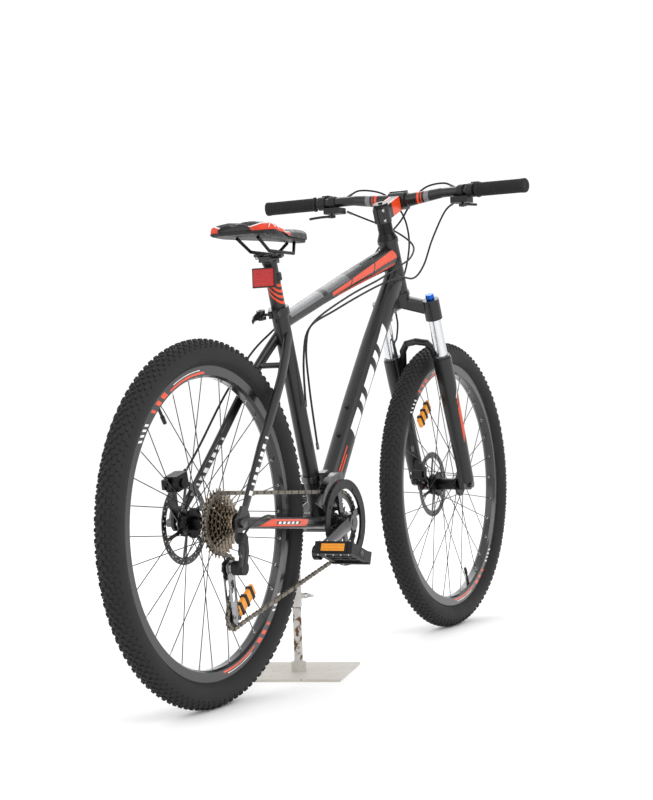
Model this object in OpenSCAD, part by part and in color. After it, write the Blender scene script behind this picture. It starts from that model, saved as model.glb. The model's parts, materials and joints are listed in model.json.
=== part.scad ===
// A hardtail mountain bicycle held upright in a post stand.
// +X is forward, +Y is to the rider's left and +Z is up. The floor is Z = 0, and the
// origin is on the floor midway between the wheel axles, in the middle plane of the frame.

/* [Frame] */
// Distance between the two wheel axles
wheelbase = 1124; // [1080:1:1350]
// Height of the bottom bracket axle above the floor
bb_height = 313; // [300:1:330]
// Horizontal distance from the rear axle back to the bottom bracket
bb_setback = 450; // [440:1:540]
// Seat tube length from the bottom bracket axle to its top
seat_tube_l = 475; // [440:1:570]
// Seat tube angle from the horizontal
seat_angle = 72; // [70:0.5:75]
// Steering axis angle from the horizontal
head_angle = 68; // [66:0.5:70]
// Head tube length
head_tube_l = 122; // [105:1:146]
// Outside diameter of the head tube
head_tube_d = 45; // [43:1:50]
// Outside diameter of the seat tube
seat_tube_d = 35; // [33:0.5:37]
// Width of the bottom bracket shell
bb_shell_w = 73; // [68:1:74]

/* [Wheels] */
// Outside diameter of both tyres
wheel_d = 700; // [690:1:710]
// Width of the tyre casing
tyre_w = 52; // [46:1:54]
// Inner diameter of the rim
rim_inner_d = 552; // [545:1:556]
// Width of the rim
rim_w = 26; // [24:1:28]
// Number of spokes in each wheel
spoke_n = 32; // [24:8:40]
// Diameter of both brake rotors
rotor_d = 160; // [150:1:162]

/* [Fork] */
// Length from the axle to the crown, along the steering axis
fork_l = 514; // [500:1:530]
// Distance from the steering axis forward to the front axle
fork_offset = 50; // [42:1:56]
// Distance from the middle plane to each fork leg
leg_spacing = 65; // [62:1:72]
// Diameter of the stanchion tubes
stanchion_d = 30; // [28:1:34]
// Length of stanchion showing between the crown and the lower legs
stanchion_shown = 98; // [94:1:112]
// Travel of the suspension
fork_travel = 75; // [50:1:80]

/* [Cockpit] */
// Length of the stem, from the steering axis to the bar
stem_l = 100; // [60:1:120]
// Width of the handlebar over its ends
bar_w = 670; // [600:1:800]
// Diameter of the bar at the grips
bar_d = 22.2; // [21:0.1:24]
// Diameter of the grips
grip_d = 32; // [29:0.5:36]
// Length of the grips
grip_l = 125; // [100:1:135]

/* [Saddle] */
// Diameter of the seatpost
seatpost_d = 30; // [27:0.1:31]
// Height of the saddle rails above the seat tube top, along the post
saddle_rise = 116; // [90:1:180]
// Overall length of the saddle
saddle_l = 276; // [250:1:290]
// Overall width of the saddle
saddle_w = 150; // [130:1:170]

/* [Drivetrain] */
// Length of the crank arms between the two axle centres
crank_l = 170; // [150:1:175]
// Angle of the right crank below the horizontal, behind the bottom bracket
crank_tilt = 16; // [10:1:20]
// Teeth on the outer chainring
outer_ring_teeth = 42; // [38:1:44]
// Teeth on the middle chainring, which the chain runs on
middle_ring_teeth = 32; // [30:1:34]
// Teeth on the inner chainring
inner_ring_teeth = 22; // [20:1:24]
// Teeth on the derailleur pulleys
pulley_teeth = 11; // [10:1:12]

/* [Stand] */
// Side of the square base plate
base_w = 220; // [180:1:270]
// Thickness of the base plate
base_t = 5; // [4:0.5:8]
// Outside diameter of the sliding sleeve
sleeve_d = 22; // [20:0.5:26]
// Wall of the sliding sleeve
sleeve_wall = 2; // [1.5:0.1:2.5]
// Height of the sleeve's lower end above the floor
sleeve_bottom = 140; // [120:1:170]

/* [Hidden] */
$fn = 48;

// Clearances: a shaft turning in a bore, parts that pass each other, and a face that only meets
run_gap = 0.06;
move_gap = 0.4;

// Places
axle_h = wheel_d / 2;
rear_x = -wheelbase / 2;
front_x = wheelbase / 2;
bb = [rear_x + bb_setback, bb_height];
seat_dir = [-cos(seat_angle), sin(seat_angle)];
steer_dir = [-cos(head_angle), sin(head_angle)];
steer_fwd = [sin(head_angle), cos(head_angle)];
steer_foot = [front_x, axle_h] - fork_offset * steer_fwd;

// Stack along the steering axis, measured from the foot of the front axle
cup_h = 10;
cone_h = 14;
spacer_h = 26;
stem_h = 40;
cap_h = 5;
head_low = fork_l + cup_h;
head_top = head_low + head_tube_l;
cone_low = head_top + cup_h;
stem_low = cone_low + cone_h + spacer_h;
stem_top = stem_low + stem_h;
steerer_r = 14.3;

// Fork
leg_fwd = 26;
crown_leg_low = fork_l - 71;
crown_leg_top = fork_l - 22;
lower_top = crown_leg_low - stanchion_shown;
leg_bore_low = 26;
stanchion_low = leg_bore_low + fork_travel + 8;

// Frame fittings
bb_shell_r = 21;
spindle_r = 8.5;
stay_w = 67.5;
axle_r = 5;
dropout_t = 6;
seat_join = seat_tube_l - 32;
seat_stay_join = seat_tube_l - 55;
cable_r = 2.5;

// Drivetrain: a pitch of chain, its roller, and the lateral place of each wheel
pitch = 12.7;
roller_d = 7.8;
ring_y = [57.5, 50, 42.5];
cog_y0 = 25.5;
cog_step = 4.8;
cog_t = 1.85;
chain_cog = 1;
chain_cog_y = cog_y0 + chain_cog * cog_step;
ring_t = 1.8;
ring_teeth = [outer_ring_teeth, middle_ring_teeth, inner_ring_teeth];
// Cogs from the inside out
cog_teeth = [32, 28, 24, 21, 18, 15, 13, 11];
spider_z = ring_y[1] + ring_t / 2;
guide_at = [rear_x + 17, axle_h - 86];
tension_at = guide_at + [13, -96];
crank_dir = [-cos(crank_tilt), -sin(crank_tilt)];
pedal_tilt = 20;

// Stand
post_at = [bb[0] - 55, 34];
post_r = sleeve_d / 2 - sleeve_wall - run_gap * 2;
post_wall = 1.6;
cradle_at = 307;
base_turn = 16;

function unit(v) = v / norm(v);
function mix(a, b, f) = a + (b - a) * f;
function side_of(p, side) = [p[0], side * p[1], p[2]];
function on_seat(t) = bb + t * seat_dir;
function on_steer(s, f = 0) = steer_foot + s * steer_dir + f * steer_fwd;
function flat(p, y = 0) = [p[0], y, p[1]];

// Frame of an axle: X forward, Y up, Z towards the drive side
module axle_frame(p) translate(flat(p)) rotate([90, 0, 0]) children();
// Frame of the steering axis: Z up along the axis, X forward of it
module steer_frame() translate(flat(steer_foot)) rotate([0, head_angle - 90, 0]) children();
// Frame of the seat tube: Z up along the tube, X forward of it
module seat_frame() translate(flat(bb)) rotate([0, seat_angle - 90, 0]) children();
// Children's Z axis runs from a towards b
module along(a, b) {
  d = b - a;
  translate(a) rotate([0, acos(d[2] / norm(d)), atan2(d[1], d[0])]) children();
}
module rod(a, b, r, r2 = 0) along(a, b) cylinder(h = norm(b - a), r1 = r, r2 = r2 == 0 ? r : r2);
module tube(h, r, bore) difference() {
  cylinder(h = h, r = r);
  translate([0, 0, -1]) cylinder(h = h + 2, r = bore);
}
module mirrored() {
  children();
  mirror([0, 1, 0]) children();
}
module slot2d(a, b, r) {
  translate(a) circle(r);
  translate(b) circle(r);
  d = b - a;
  translate(a) rotate(atan2(d[1], d[0])) translate([0, -r]) square([norm(d), 2 * r]);
}

// A tube of elliptical section along a path: each size is a half width along ref and a half height
function tangent(p, i) = unit(p[min(i + 1, len(p) - 1)] - p[max(i - 1, 0)]);
function ring(c, t, ref, size, n) = let (s = unit(ref - (ref * t) * t), u = cross(t, s))
  [for (k = [0 : n - 1]) c + size[0] * cos(360 * k / n) * s + size[1] * sin(360 * k / n) * u];
module loft(path, sizes, ref = [0, 1, 0], n = 24) {
  last = len(path) - 1;
  points = [for (i = [0 : last]) each ring(path[i], tangent(path, i), ref, sizes[i], n)];
  sides = [for (i = [0 : last - 1], k = [0 : n - 1])
    let (a = i * n + k, b = i * n + (k + 1) % n) each [[a, a + n, b + n], [a, b + n, b]]];
  ends = [[for (k = [0 : n - 1]) k], [for (k = [n - 1 : -1 : 0]) last * n + k]];
  polyhedron(points = points, faces = concat(ends, sides));
}

// ---------------------------------------------------------------- stand
module at_post() translate([post_at[0], post_at[1], 0]) children();

module base_plate() color("gainsboro") at_post() difference() {
  union() {
    rotate(base_turn) translate([-base_w / 2, -base_w / 2, 0]) cube([base_w, base_w, base_t]);
    cylinder(h = base_t + 19, r = 15.5);
  }
  translate([0, 0, base_t]) cylinder(h = 30, r = post_r);
}

module inner_post() color("silver") at_post() translate([0, 0, base_t])
  tube(cradle_at - base_t - 30, post_r, post_r - post_wall);

module stand_sleeve() color("white") {
  at_post() sleeve();
  cradle();
}
module sleeve() {
  bore = sleeve_d / 2 - sleeve_wall;
  difference() {
    union() {
      translate([0, 0, sleeve_bottom]) cylinder(h = cradle_at - 8 - sleeve_bottom, r = sleeve_d / 2);
      translate([0, 0, sleeve_bottom + 22]) rotate([90, 0, 45]) cylinder(h = sleeve_d / 2 + 5, r = 6);
    }
    translate([0, 0, sleeve_bottom - 1]) cylinder(h = cradle_at - 22 - sleeve_bottom, r = bore);
    translate([0, 0, sleeve_bottom + 22]) rotate([90, 0, 45]) cylinder(h = 40, r = 3 + run_gap);
  }
}
// Cradle under the left chain stay, formed to it
module cradle() difference() {
  at_post() translate([-22, -19, cradle_at - 8]) cube([44, 36, 22]);
  left_stay();
  at_post() translate([-23, -15, cradle_at + 6]) cube([46, 26, 20]);
}

module wing_screw() color("silver") at_post() translate([0, 0, sleeve_bottom + 22]) rotate([90, 0, 45]) {
  translate([0, 0, post_r + move_gap]) cylinder(h = 22, r = 3);
  translate([0, 0, sleeve_d / 2 + 5 + move_gap]) cylinder(h = 7, r = 6);
  for (a = [-1, 1]) translate([0, 0, sleeve_d / 2 + 10]) rotate([0, a * 55, 0])
    translate([-2, -3, 0]) cube([4, 6, 20]);
}

// ---------------------------------------------------------------- frame
top_tube_bow = 5;
down_tube_bow = 11;
top_tube_a = flat(on_seat(seat_join));
top_tube_b = flat(on_steer(head_top - 33));
top_tube_f = [0, 0.1, 0.32, 0.6, 0.82, 0.94, 1];
top_tube_path = [for (f = top_tube_f) mix(top_tube_a, top_tube_b, f) + [0, 0, top_tube_bow * sin(180 * f)]];
top_tube_size = [[17, 15], [17.5, 15.5], [18, 17], [19, 20.5], [20, 24], [20, 26], [20, 27]];
down_tube_a = flat(bb);
down_tube_b = flat(on_steer(head_low + 38));
down_tube_up = unit(cross(down_tube_b - down_tube_a, [0, 1, 0]));
down_tube_f = [0, 0.15, 0.45, 0.7, 0.85, 0.93, 1];
down_tube_size = [[24, 26], [25, 26], [25, 24], [25, 26], [23, 28], [21, 30], [20, 33]];
bottle_bolts = [0.3, 0.41];
function on_down(f) = mix(down_tube_a, down_tube_b, f) + down_tube_bow * sin(180 * f) * down_tube_up;
module down_core() loft([for (f = down_tube_f) on_down(f)], down_tube_size);

module head_core(r) steer_frame() translate([0, 0, head_low - 40]) cylinder(h = head_tube_l + 80, r = r);
module seat_core(r) seat_frame() cylinder(h = seat_tube_l + 60, r = r);
module bb_core() axle_frame(bb) translate([0, 0, -bb_shell_w / 2]) cylinder(h = bb_shell_w, r = bb_shell_r);

// Head tube with the two headset cups pressed into its ends
module head_tube() color("dimgray") steer_frame() {
  translate([0, 0, head_low]) tube(head_tube_l, head_tube_d / 2, 17);
  translate([0, 0, head_low - cup_h + move_gap])
    tube(cup_h - move_gap, head_tube_d / 2 + 3, steerer_r + run_gap);
  translate([0, 0, head_top]) tube(cup_h - move_gap, head_tube_d / 2 + 2, steerer_r + run_gap);
}

module top_tube() color("orangered") difference() {
  loft(top_tube_path, top_tube_size);
  head_core(head_tube_d / 2);
  seat_core(seat_tube_d / 2);
}

module down_tube() color("dimgray") {
  difference() {
    down_core();
    head_core(head_tube_d / 2);
    steer_frame() translate([0, 0, head_low - 30]) cylinder(h = 30, r = head_tube_d / 2 + 3);
    seat_core(seat_tube_d / 2);
    bb_core();
    loft(top_tube_path, top_tube_size);
  }
  // Bottle cage bolts on the upper face
  for (f = bottle_bolts) rod(on_down(f) + 22 * down_tube_up, on_down(f) + 29 * down_tube_up, 4.5);
}

module seat_tube() color("dimgray") difference() {
  seat_frame() tube(seat_tube_l, seat_tube_d / 2, seatpost_d / 2);
  bb_core();
  seat_frame() translate([-30, -1, seat_tube_l - 28]) cube([30, 2, 40]);
}

module bb_shell() color("dimgray") axle_frame(bb) {
  translate([0, 0, -bb_shell_w / 2]) tube(bb_shell_w, bb_shell_r, 17.4);
  for (side = [-1, 1]) translate([0, 0, side * (bb_shell_w / 2 - 8) - 10]) difference() {
    cylinder(h = 20, r = 17.4);
    translate([0, 0, -1]) cylinder(h = 22, r = spindle_r + run_gap);
  }
}

// Right chain stay and seat stay: lateral place and height above the straight line between the ends
rear_axle_p = flat([rear_x, axle_h]);
stay_f = [0.02, 0.09, 0.15, 0.24, 0.42, 0.68, 0.94];
stay_y = [-23, -28, -33, -42, -55, -64, -69.8];
stay_size = [[9, 13], [9, 13], [9, 12.5], [8.5, 12], [8.5, 12], [8, 11.5], [4.4, 10.5]];
chain_stay_path = [for (i = [0 : 6]) mix(flat(bb), rear_axle_p, stay_f[i]) + [0, stay_y[i], 0]];
seat_stay_a = flat(on_seat(seat_stay_join));
seat_stay_f = [0.01, 0.12, 0.25, 0.38, 0.62, 0.85, 0.95];
seat_stay_y = [-12, -24, -36, -43, -52, -64, -69.8];
seat_stay_size = [[9, 11], [9, 11], [8.5, 11], [8, 11], [8, 11], [6, 10], [4.4, 9.5]];
seat_stay_path = [for (i = [0 : 6]) mix(seat_stay_a, rear_axle_p, seat_stay_f[i]) + [0, seat_stay_y[i], 0]];
bridge_p = mix(seat_stay_a, rear_axle_p, 0.18);

module dropout2d() polygon([[-15, -8], [-8, -15], [18, -14], [31, -8], [32, 14], [21, 31], [6, 32],
  [-4, 15], [-15, 8]]);
// Hanger under the right dropout, for the rear derailleur
module hanger2d() polygon([[-14, -6], [6, -10], [-1, -30], [-10, -38], [-19, -30]]);
// Arm of the left dropout that carries the brake caliper
module brake_arm2d() polygon([[-12, 4], [8, 6], [-2, 66], [14, 74], [12, 92], [-44, 82], [-42, 66],
  [-22, 62]]);

module left_stay() loft([for (p = chain_stay_path) side_of(p, -1)], stay_size);
module chain_stays() color("dimgray") {
  for (side = [1, -1]) difference() {
    union() {
      loft([for (p = chain_stay_path) side_of(p, side)], stay_size);
      axle_frame([rear_x, axle_h]) translate([0, 0, side > 0 ? stay_w : -stay_w - dropout_t])
        linear_extrude(height = dropout_t) {
          dropout2d();
          if (side < 0) brake_arm2d(); else hanger2d();
        }
    }
    bb_core();
    axle_frame([rear_x, axle_h]) translate([0, 0, -90]) cylinder(h = 180, r = axle_r);
  }
}

module seat_stays() color("dimgray") {
  for (side = [1, -1]) difference() {
    loft([for (p = seat_stay_path) side_of(p, side)], seat_stay_size);
    seat_core(seat_tube_d / 2);
    axle_frame([rear_x, axle_h]) translate([0, 0, -100]) linear_extrude(height = 200) dropout2d();
  }
  difference() {
    rod(bridge_p + [0, -26, 0], bridge_p + [0, 26, 0], 6);
    for (side = [1, -1]) loft([for (p = seat_stay_path) side_of(p, side)], seat_stay_size);
  }
}

// Clamp ring with its cross bolt; the lever turns on a pin at the bolt's left end
clamp_ear = seat_tube_d / 2 + 7;
lever_y = 29;
module seat_clamp() color("black") seat_frame() translate([0, 0, seat_tube_l - 14]) {
  difference() {
    union() {
      cylinder(h = 16, r = seat_tube_d / 2 + 4);
      translate([-clamp_ear - 6, -9, 0]) cube([14, 18, 16]);
    }
    translate([0, 0, -1]) cylinder(h = 15, r = seat_tube_d / 2);
    translate([0, 0, 13]) cylinder(h = 10, r = seatpost_d / 2 + 0.5);
    translate([-60, -1, -1]) cube([60, 2, 30]);
  }
  translate([-clamp_ear, 0, 8]) {
    rotate([-90, 0, 0]) translate([0, 0, 9]) cylinder(h = lever_y - 9, r = 3);
    rotate([-90, 0, 0]) translate([0, 0, -14]) cylinder(h = 5, r = 6);
    translate([0, lever_y, -11]) cylinder(h = 22, r = 3);
  }
}

module seat_lever() color("black") seat_frame() translate([-clamp_ear, lever_y, seat_tube_l - 6])
  difference() {
    union() {
      for (z = [-10, 3 + move_gap]) translate([0, 0, z]) cylinder(h = 7 - move_gap, r = 9);
      intersection() {
        translate([0, 0, -10]) cylinder(h = 20, r = 9);
        translate([-12, -4, -12]) cube([8, 14, 24]);
      }
      loft([[-6, 3, 0], [-18, 4, 0], [-34, 0, 0], [-50, -7, 0]], [[3, 8], [2.5, 7], [2.5, 6.5], [2, 5]],
        ref = [0, 1, 0], n = 16);
    }
    translate([0, 0, -20]) cylinder(h = 40, r = 3 + run_gap);
  }

// Solid rear axle with lock nuts, quick release nut and lever
module rear_axle() color("silver") axle_frame([rear_x, axle_h]) {
  translate([0, 0, -stay_w - 9]) cylinder(h = 2 * stay_w + 18, r = axle_r);
  for (side = [-1, 1]) translate([0, 0, side * (stay_w + dropout_t + 3.5) - 3.5]) cylinder(h = 7, r = 9);
  for (side = [-1, 1]) translate([0, 0, side * (stay_w - 1.5) - 1.5]) cylinder(h = 3, r = 8.5);
  translate([0, 0, -stay_w - dropout_t - 16]) cylinder(h = 9, r = 8);
  translate([0, 0, -stay_w - dropout_t - 13]) linear_extrude(height = 5) slot2d([0, 0], [16, 46], 5);
}

// Brake caliper: two halves over the rotor, joined beyond its rim. reach is the distance from
// the rotor's plane out to the face that the mounting bolts hold.
caliper_half = 12;
module caliper(angle, plane, reach) rotate(angle) translate([0, 0, plane]) {
  difference() {
    union() {
      translate([rotor_d / 2 - 12, -20, -reach]) cube([30, 40, reach + caliper_half]);
      translate([rotor_d / 2 + 3, -31, -reach]) cube([12, 62, 12]);
    }
    translate([-1, -40, -1.9]) cube([rotor_d / 2 + 4, 80, 3.8]);
  }
  translate([rotor_d / 2, 0, caliper_half]) cylinder(h = 3, r = 9);
}
rear_rotor_z = -52.3;
front_rotor_z = -39.6;
rear_caliper_a = 104;
front_caliper_a = 158;

module rear_caliper() color("black") axle_frame([rear_x, axle_h])
  caliper(rear_caliper_a, rear_rotor_z, stay_w + rear_rotor_z);

module front_derailleur() color("dimgray") {
  seat_frame() translate([0, 0, 96]) {
    tube(14, seat_tube_d / 2 + 4, seat_tube_d / 2);
    translate([-4, -seat_tube_d / 2 - 18, -2]) cube([18, 15, 20]);
  }
  axle_frame(bb) {
    // Inner plate beside the middle ring, outer plate above the outer ring
    translate([0, 0, ring_y[1] - 9.4]) linear_extrude(height = 1.2) cage2d(72, 108);
    translate([0, 0, ring_y[0] - 1]) linear_extrude(height = 1.2) cage2d(91, 108);
    translate([0, 0, ring_y[1] - 9.4]) linear_extrude(height = ring_y[0] - ring_y[1] + 9.6)
      intersection() {
        cage2d(106, 108);
        polygon([[0, 0], [4, 140], [-110, 140]]);
      }
    translate([-40, 92, 24]) cube([26, 12, ring_y[1] - 9.4 - 24]);
  }
}
module cage2d(low, high) difference() {
  intersection() {
    circle(high);
    polygon([[0, 0], [4, 140], [-150, 140], [-150, 76]]);
  }
  circle(low);
}

// ---------------------------------------------------------------- chain line
// Wheels in the order that the chain meets them: place, signed pitch radius, teeth and lateral place.
// A wheel that the chain goes round the other way has a negative radius.
function pitch_r(n) = pitch / (2 * sin(180 / n));
chain_wheels = [
  [bb, pitch_r(ring_teeth[1]), ring_teeth[1], ring_y[1]],
  [[rear_x, axle_h], pitch_r(cog_teeth[chain_cog]), cog_teeth[chain_cog], chain_cog_y],
  [guide_at, -pitch_r(pulley_teeth), pulley_teeth, chain_cog_y],
  [tension_at, pitch_r(pulley_teeth), pulley_teeth, chain_cog_y]];
function wheel(i) = chain_wheels[(i + 4) % 4];
function heading(i) = let (a = wheel(i), b = wheel(i + 1), d = b[0] - a[0])
  atan2(d[1], d[0]) - asin((b[1] - a[1]) / norm(d));
function run_l(i) = let (a = wheel(i), b = wheel(i + 1))
  sqrt(pow(norm(b[0] - a[0]), 2) - pow(b[1] - a[1], 2) + pow(b[3] - a[3], 2));
function turn(i) = let (d = (heading(i) - heading(i - 1)) * sign(wheel(i)[1])) d - 360 * floor(d / 360);
function arc_n(i) = turn(i) * wheel(i)[2] / 360;
arcs_n = arc_n(0) + arc_n(1) + arc_n(2) + arc_n(3);
runs_n = (run_l(0) + run_l(1) + run_l(2) + run_l(3)) / pitch;
link_n = 2 * round((arcs_n + runs_n) / 2);
run_scale = (link_n - arcs_n) / runs_n;
function run_n(i) = run_l(i) / pitch * run_scale;
// Count of pitches before wheel i, and the angle at which the chain meets that wheel
function before(i) = i == 0 ? 0 : before(i - 1) + arc_n(i - 1) + run_n(i - 1);
function entry(i) = heading(i - 1) - 90;
function arc_pin(i, q) = let (w = wheel(i), a = entry(i) + q * 360 / w[2] * sign(w[1]))
  [w[0][0] + w[1] * cos(a), -w[3], w[0][1] + w[1] * sin(a)];
// On a run the chain keeps its wheel's plane for a few pitches before it moves across
level_n = 3;
function sideways(i, q) = min(1, max(0, (q - arc_n(i) - level_n) / max(1, run_n(i) - 2 * level_n)));
function pin_on(i, q) = q <= arc_n(i) ? arc_pin(i, q)
  : let (a = arc_pin(i, arc_n(i)), b = arc_pin_entry(i + 1), p = mix(a, b, (q - arc_n(i)) / run_n(i)))
    [p[0], mix(a, b, sideways(i, q))[1], p[2]];
function arc_pin_entry(i) = arc_pin(i % 4, 0);
function chain_pin(q) = q >= before(3) ? pin_on(3, q - before(3))
  : q >= before(2) ? pin_on(2, q - before(2))
  : q >= before(1) ? pin_on(1, q - before(1)) : pin_on(0, q);
// Angle of one roller on wheel i, so that its teeth stand between the rollers
function phase(i) = entry(i) + (wheel(i)[1] < 0 ? 180 : 0)
  - before(i) * 360 / wheel(i)[2] * sign(wheel(i)[1]);

module plate2d() {
  circle(4.1);
  translate([pitch, 0]) circle(4.1);
  translate([0, -3]) square([pitch, 6]);
}
module chain_link(q) {
  a = chain_pin(q);
  b = chain_pin((q + 1) % link_n);
  d = b - a;
  inner = q % 2 == 0;
  translate(a) rotate([0, -atan2(d[2], d[0]), 0]) rotate([90, 0, asin(d[1] / norm(d))]) {
    for (z = inner ? [1.2, -2.1] : [2.25, -3.15]) translate([0, 0, z]) linear_extrude(height = 0.9)
      difference() {
        plate2d();
        if (inner) for (x = [0, pitch]) translate([x, 0]) circle(1.9);
      }
    for (x = [0, pitch]) translate([x, 0, inner ? -1.2 : -3.5])
      if (inner) tube(2.4, roller_d / 2, 1.9); else cylinder(h = 7, r = 1.8);
  }
}
module chain() color("dimgray") for (q = [0 : link_n - 1]) chain_link(q);

// Room between a chain roller and the tooth gap it rests in
seat_gap = 1.1;
// Height of a tooth above the circle of the roller centres
tooth_h = 1.6;
// Sprocket outline: a disc with a seat for every roller
module sprocket2d(teeth, phase_a = 0) {
  r = pitch_r(teeth);
  difference() {
    circle(r + tooth_h);
    for (k = [0 : teeth - 1]) rotate(phase_a + k * 360 / teeth) translate([r, 0])
      circle(roller_d / 2 + seat_gap);
  }
}

module chain_rings() color("dimgray") axle_frame(bb) {
  for (k = [0 : 2]) translate([0, 0, ring_y[k] - ring_t / 2]) linear_extrude(height = ring_t) difference() {
    sprocket2d(ring_teeth[k], k == 1 ? phase(0) : crank_tilt);
    if (k < 2) difference() {
      circle(pitch_r(ring_teeth[k]) - 13);
      for (a = [0 : 90 : 270]) rotate(a + crank_tilt) translate([44, -8]) square([50, 16]);
    }
    if (k == 2) circle(27);
    if (k < 2) circle(44);
  }
}

module chain_guard() color("black") axle_frame(bb) {
  translate([0, 0, ring_y[0] + 2.4]) linear_extrude(height = 2.5) difference() {
    circle(pitch_r(ring_teeth[0]) + 6);
    circle(pitch_r(ring_teeth[0]) - 14);
  }
  for (a = [45 : 90 : 315]) rotate(a + crank_tilt)
    translate([pitch_r(ring_teeth[0]) - 9, 0, ring_y[0] + ring_t / 2]) cylinder(h = 5, r = 3.5);
}

// Crank arm in the axle frame, along +X; z is its middle plane at the spindle
module crank_arm() {
  difference() {
    union() {
      loft([[0, 0, 73], [40, 0, 74], [110, 0, 77], [crank_l - 8, 0, 79.5], [crank_l + 5, 0, 80]],
        [[8, 15], [7, 14], [6.5, 12.5], [6.5, 13], [6, 11]], ref = [0, 0, 1]);
      translate([0, 0, 62]) cylinder(h = 19, r = 17);
      translate([crank_l, 0, 73]) cylinder(h = 13, r = 15);
    }
    translate([-6, -6, 50]) cube([12, 12, 40]);
  }
  translate([crank_l, 0, 86]) cylinder(h = 6, r = 8);
  translate([crank_l, 0, 92]) cylinder(h = 88, r = 5);
  translate([0, 0, 77]) cylinder(h = 5, r = 8);
}

module crank_right() color("black") axle_frame(bb) rotate(180 + crank_tilt) {
  crank_arm();
  difference() {
    union() {
      translate([0, 0, spider_z]) cylinder(h = 62.5 - spider_z, r = 22);
      translate([0, 0, spider_z]) linear_extrude(height = ring_y[0] - ring_y[1] - ring_t)
        for (a = [0 : 90 : 270]) rotate(a) slot2d([0, 0], [52, 0], 7);
      for (a = [0 : 90 : 270]) rotate(a) translate([31, 0, ring_y[2] + ring_t / 2])
        cylinder(h = spider_z - ring_y[2], r = 4);
    }
    translate([-6, -6, 40]) cube([12, 12, 40]);
    translate([0, 0, 40]) cylinder(h = 21, r = spindle_r + 0.1);
  }
}

// Left crank with the square-ended spindle that both cranks turn on
module crank_left() color("black") axle_frame(bb) {
  rotate(crank_tilt) mirror([0, 0, 1]) crank_arm();
  rotate(crank_tilt) {
    translate([0, 0, -60]) cylinder(h = 120, r = spindle_r);
    for (z = [-74, 60]) translate([-6, -6, z]) cube([12, 12, 14]);
  }
}

// Pedal body in the frame of its own axle, reaching outwards from z = 0
module pedal_body() rotate(-pedal_tilt) difference() {
  union() {
    translate([0, 0, 2]) cylinder(h = 84, r = 10);
    for (z = [2, 74]) translate([-40, -11, z]) cube([80, 22, 12]);
    for (x = [-44, 36]) translate([x, -13, 2]) cube([8, 26, 84]);
    for (x = [-24, 16]) translate([x, -9, 10]) cube([8, 18, 66]);
    for (z = [30, 52]) translate([-40, -8, z]) cube([80, 16, 6]);
  }
  translate([0, 0, -1]) cylinder(h = 92, r = 5 + run_gap);
}
pedal_z = 92.5;
module pedal_right() color("black") axle_frame(bb + crank_l * crank_dir) translate([0, 0, pedal_z]) pedal_body();
module pedal_left() color("black") axle_frame(bb - crank_l * crank_dir) mirror([0, 0, 1])
  translate([0, 0, pedal_z]) pedal_body();

// ---------------------------------------------------------------- derailleur
module rear_derailleur() color("dimgray") {
  hang = [rear_x - 10, axle_h - 28];
  axle_frame(hang) translate([0, 0, stay_w + dropout_t]) cylinder(h = 12, r = 11);
  knuckle = flat(hang, -stay_w - dropout_t - 8);
  lower = flat(guide_at, -60);
  for (dx = [-8, 8]) loft([knuckle + [dx, 0, 0], mix(knuckle, lower, 0.5) + [dx, -4, 0], lower + [dx, -2, 0]],
    [[4, 9], [4, 10], [4, 9]], n = 16);
  axle_frame(guide_at) translate([0, 0, 44]) cylinder(h = 24, r = 14);
}

module derailleur_cage() color("silver") axle_frame(guide_at) {
  d = tension_at - guide_at;
  for (z = [chain_cog_y - 6, chain_cog_y + 4.4]) translate([0, 0, z]) linear_extrude(height = 1.6)
    difference() {
      union() {
        circle(15);
        slot2d([0, 0], d, 12);
      }
      slot2d(0.3 * d, 0.62 * d, 6);
      circle(3);
      translate(d) circle(3);
    }
  for (p = [[0, 0], d]) translate([p[0], p[1], chain_cog_y - 7]) cylinder(h = 14, r = 2.5);
  translate([0, 0, chain_cog_y + 6]) cylinder(h = 43.6 - chain_cog_y - 6, r = 11);
}

module pulley(i) difference() {
  union() {
    translate([0, 0, -1]) linear_extrude(height = 2) sprocket2d(pulley_teeth, phase(i));
    translate([0, 0, -2]) cylinder(h = 4, r = 8);
  }
  translate([0, 0, -4]) cylinder(h = 8, r = 2.5 + run_gap);
}
module guide_pulley() color("black") axle_frame(guide_at) translate([0, 0, chain_cog_y]) pulley(2);
module tension_pulley() color("black") axle_frame(tension_at) translate([0, 0, chain_cog_y]) pulley(3);

// ---------------------------------------------------------------- seat
rail_at = seat_tube_l + saddle_rise;
saddle_nose = on_seat(rail_at)[0] + 148;
saddle_z = on_seat(rail_at)[1] + 53;

module seat_post() color("black") {
  seat_frame() translate([0, 0, seat_tube_l - 120])
    tube(120 + saddle_rise - 22, seatpost_d / 2 - run_gap, seatpost_d / 2 - 2.2);
  seat_frame() translate([0, 0, rail_at - 22]) cylinder(h = 6, r = seatpost_d / 2 + 1);
  translate(flat(on_seat(rail_at - 12))) {
    translate([-20, -13, -8]) cube([40, 26, 11]);
    for (y = [-26, 17]) translate([-17, y, 4]) cube([34, 9, 6]);
    rotate([90, 0, 0]) translate([0, 4, -30]) cylinder(h = 60, r = 4);
  }
}

rail_z = on_seat(rail_at)[1] + 2;
function rail_path(side) = [
  [saddle_nose - 50, side * 8, saddle_z - 26], [saddle_nose - 76, side * 20, rail_z],
  [saddle_nose - 180, side * 21.5, rail_z], [saddle_nose - 228, side * 24, saddle_z - 27]];
module saddle_rails() color("black") for (side = [-1, 1])
  loft(rail_path(side), [for (p = rail_path(side)) [3.5, 3.5]], n = 12);

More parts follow.
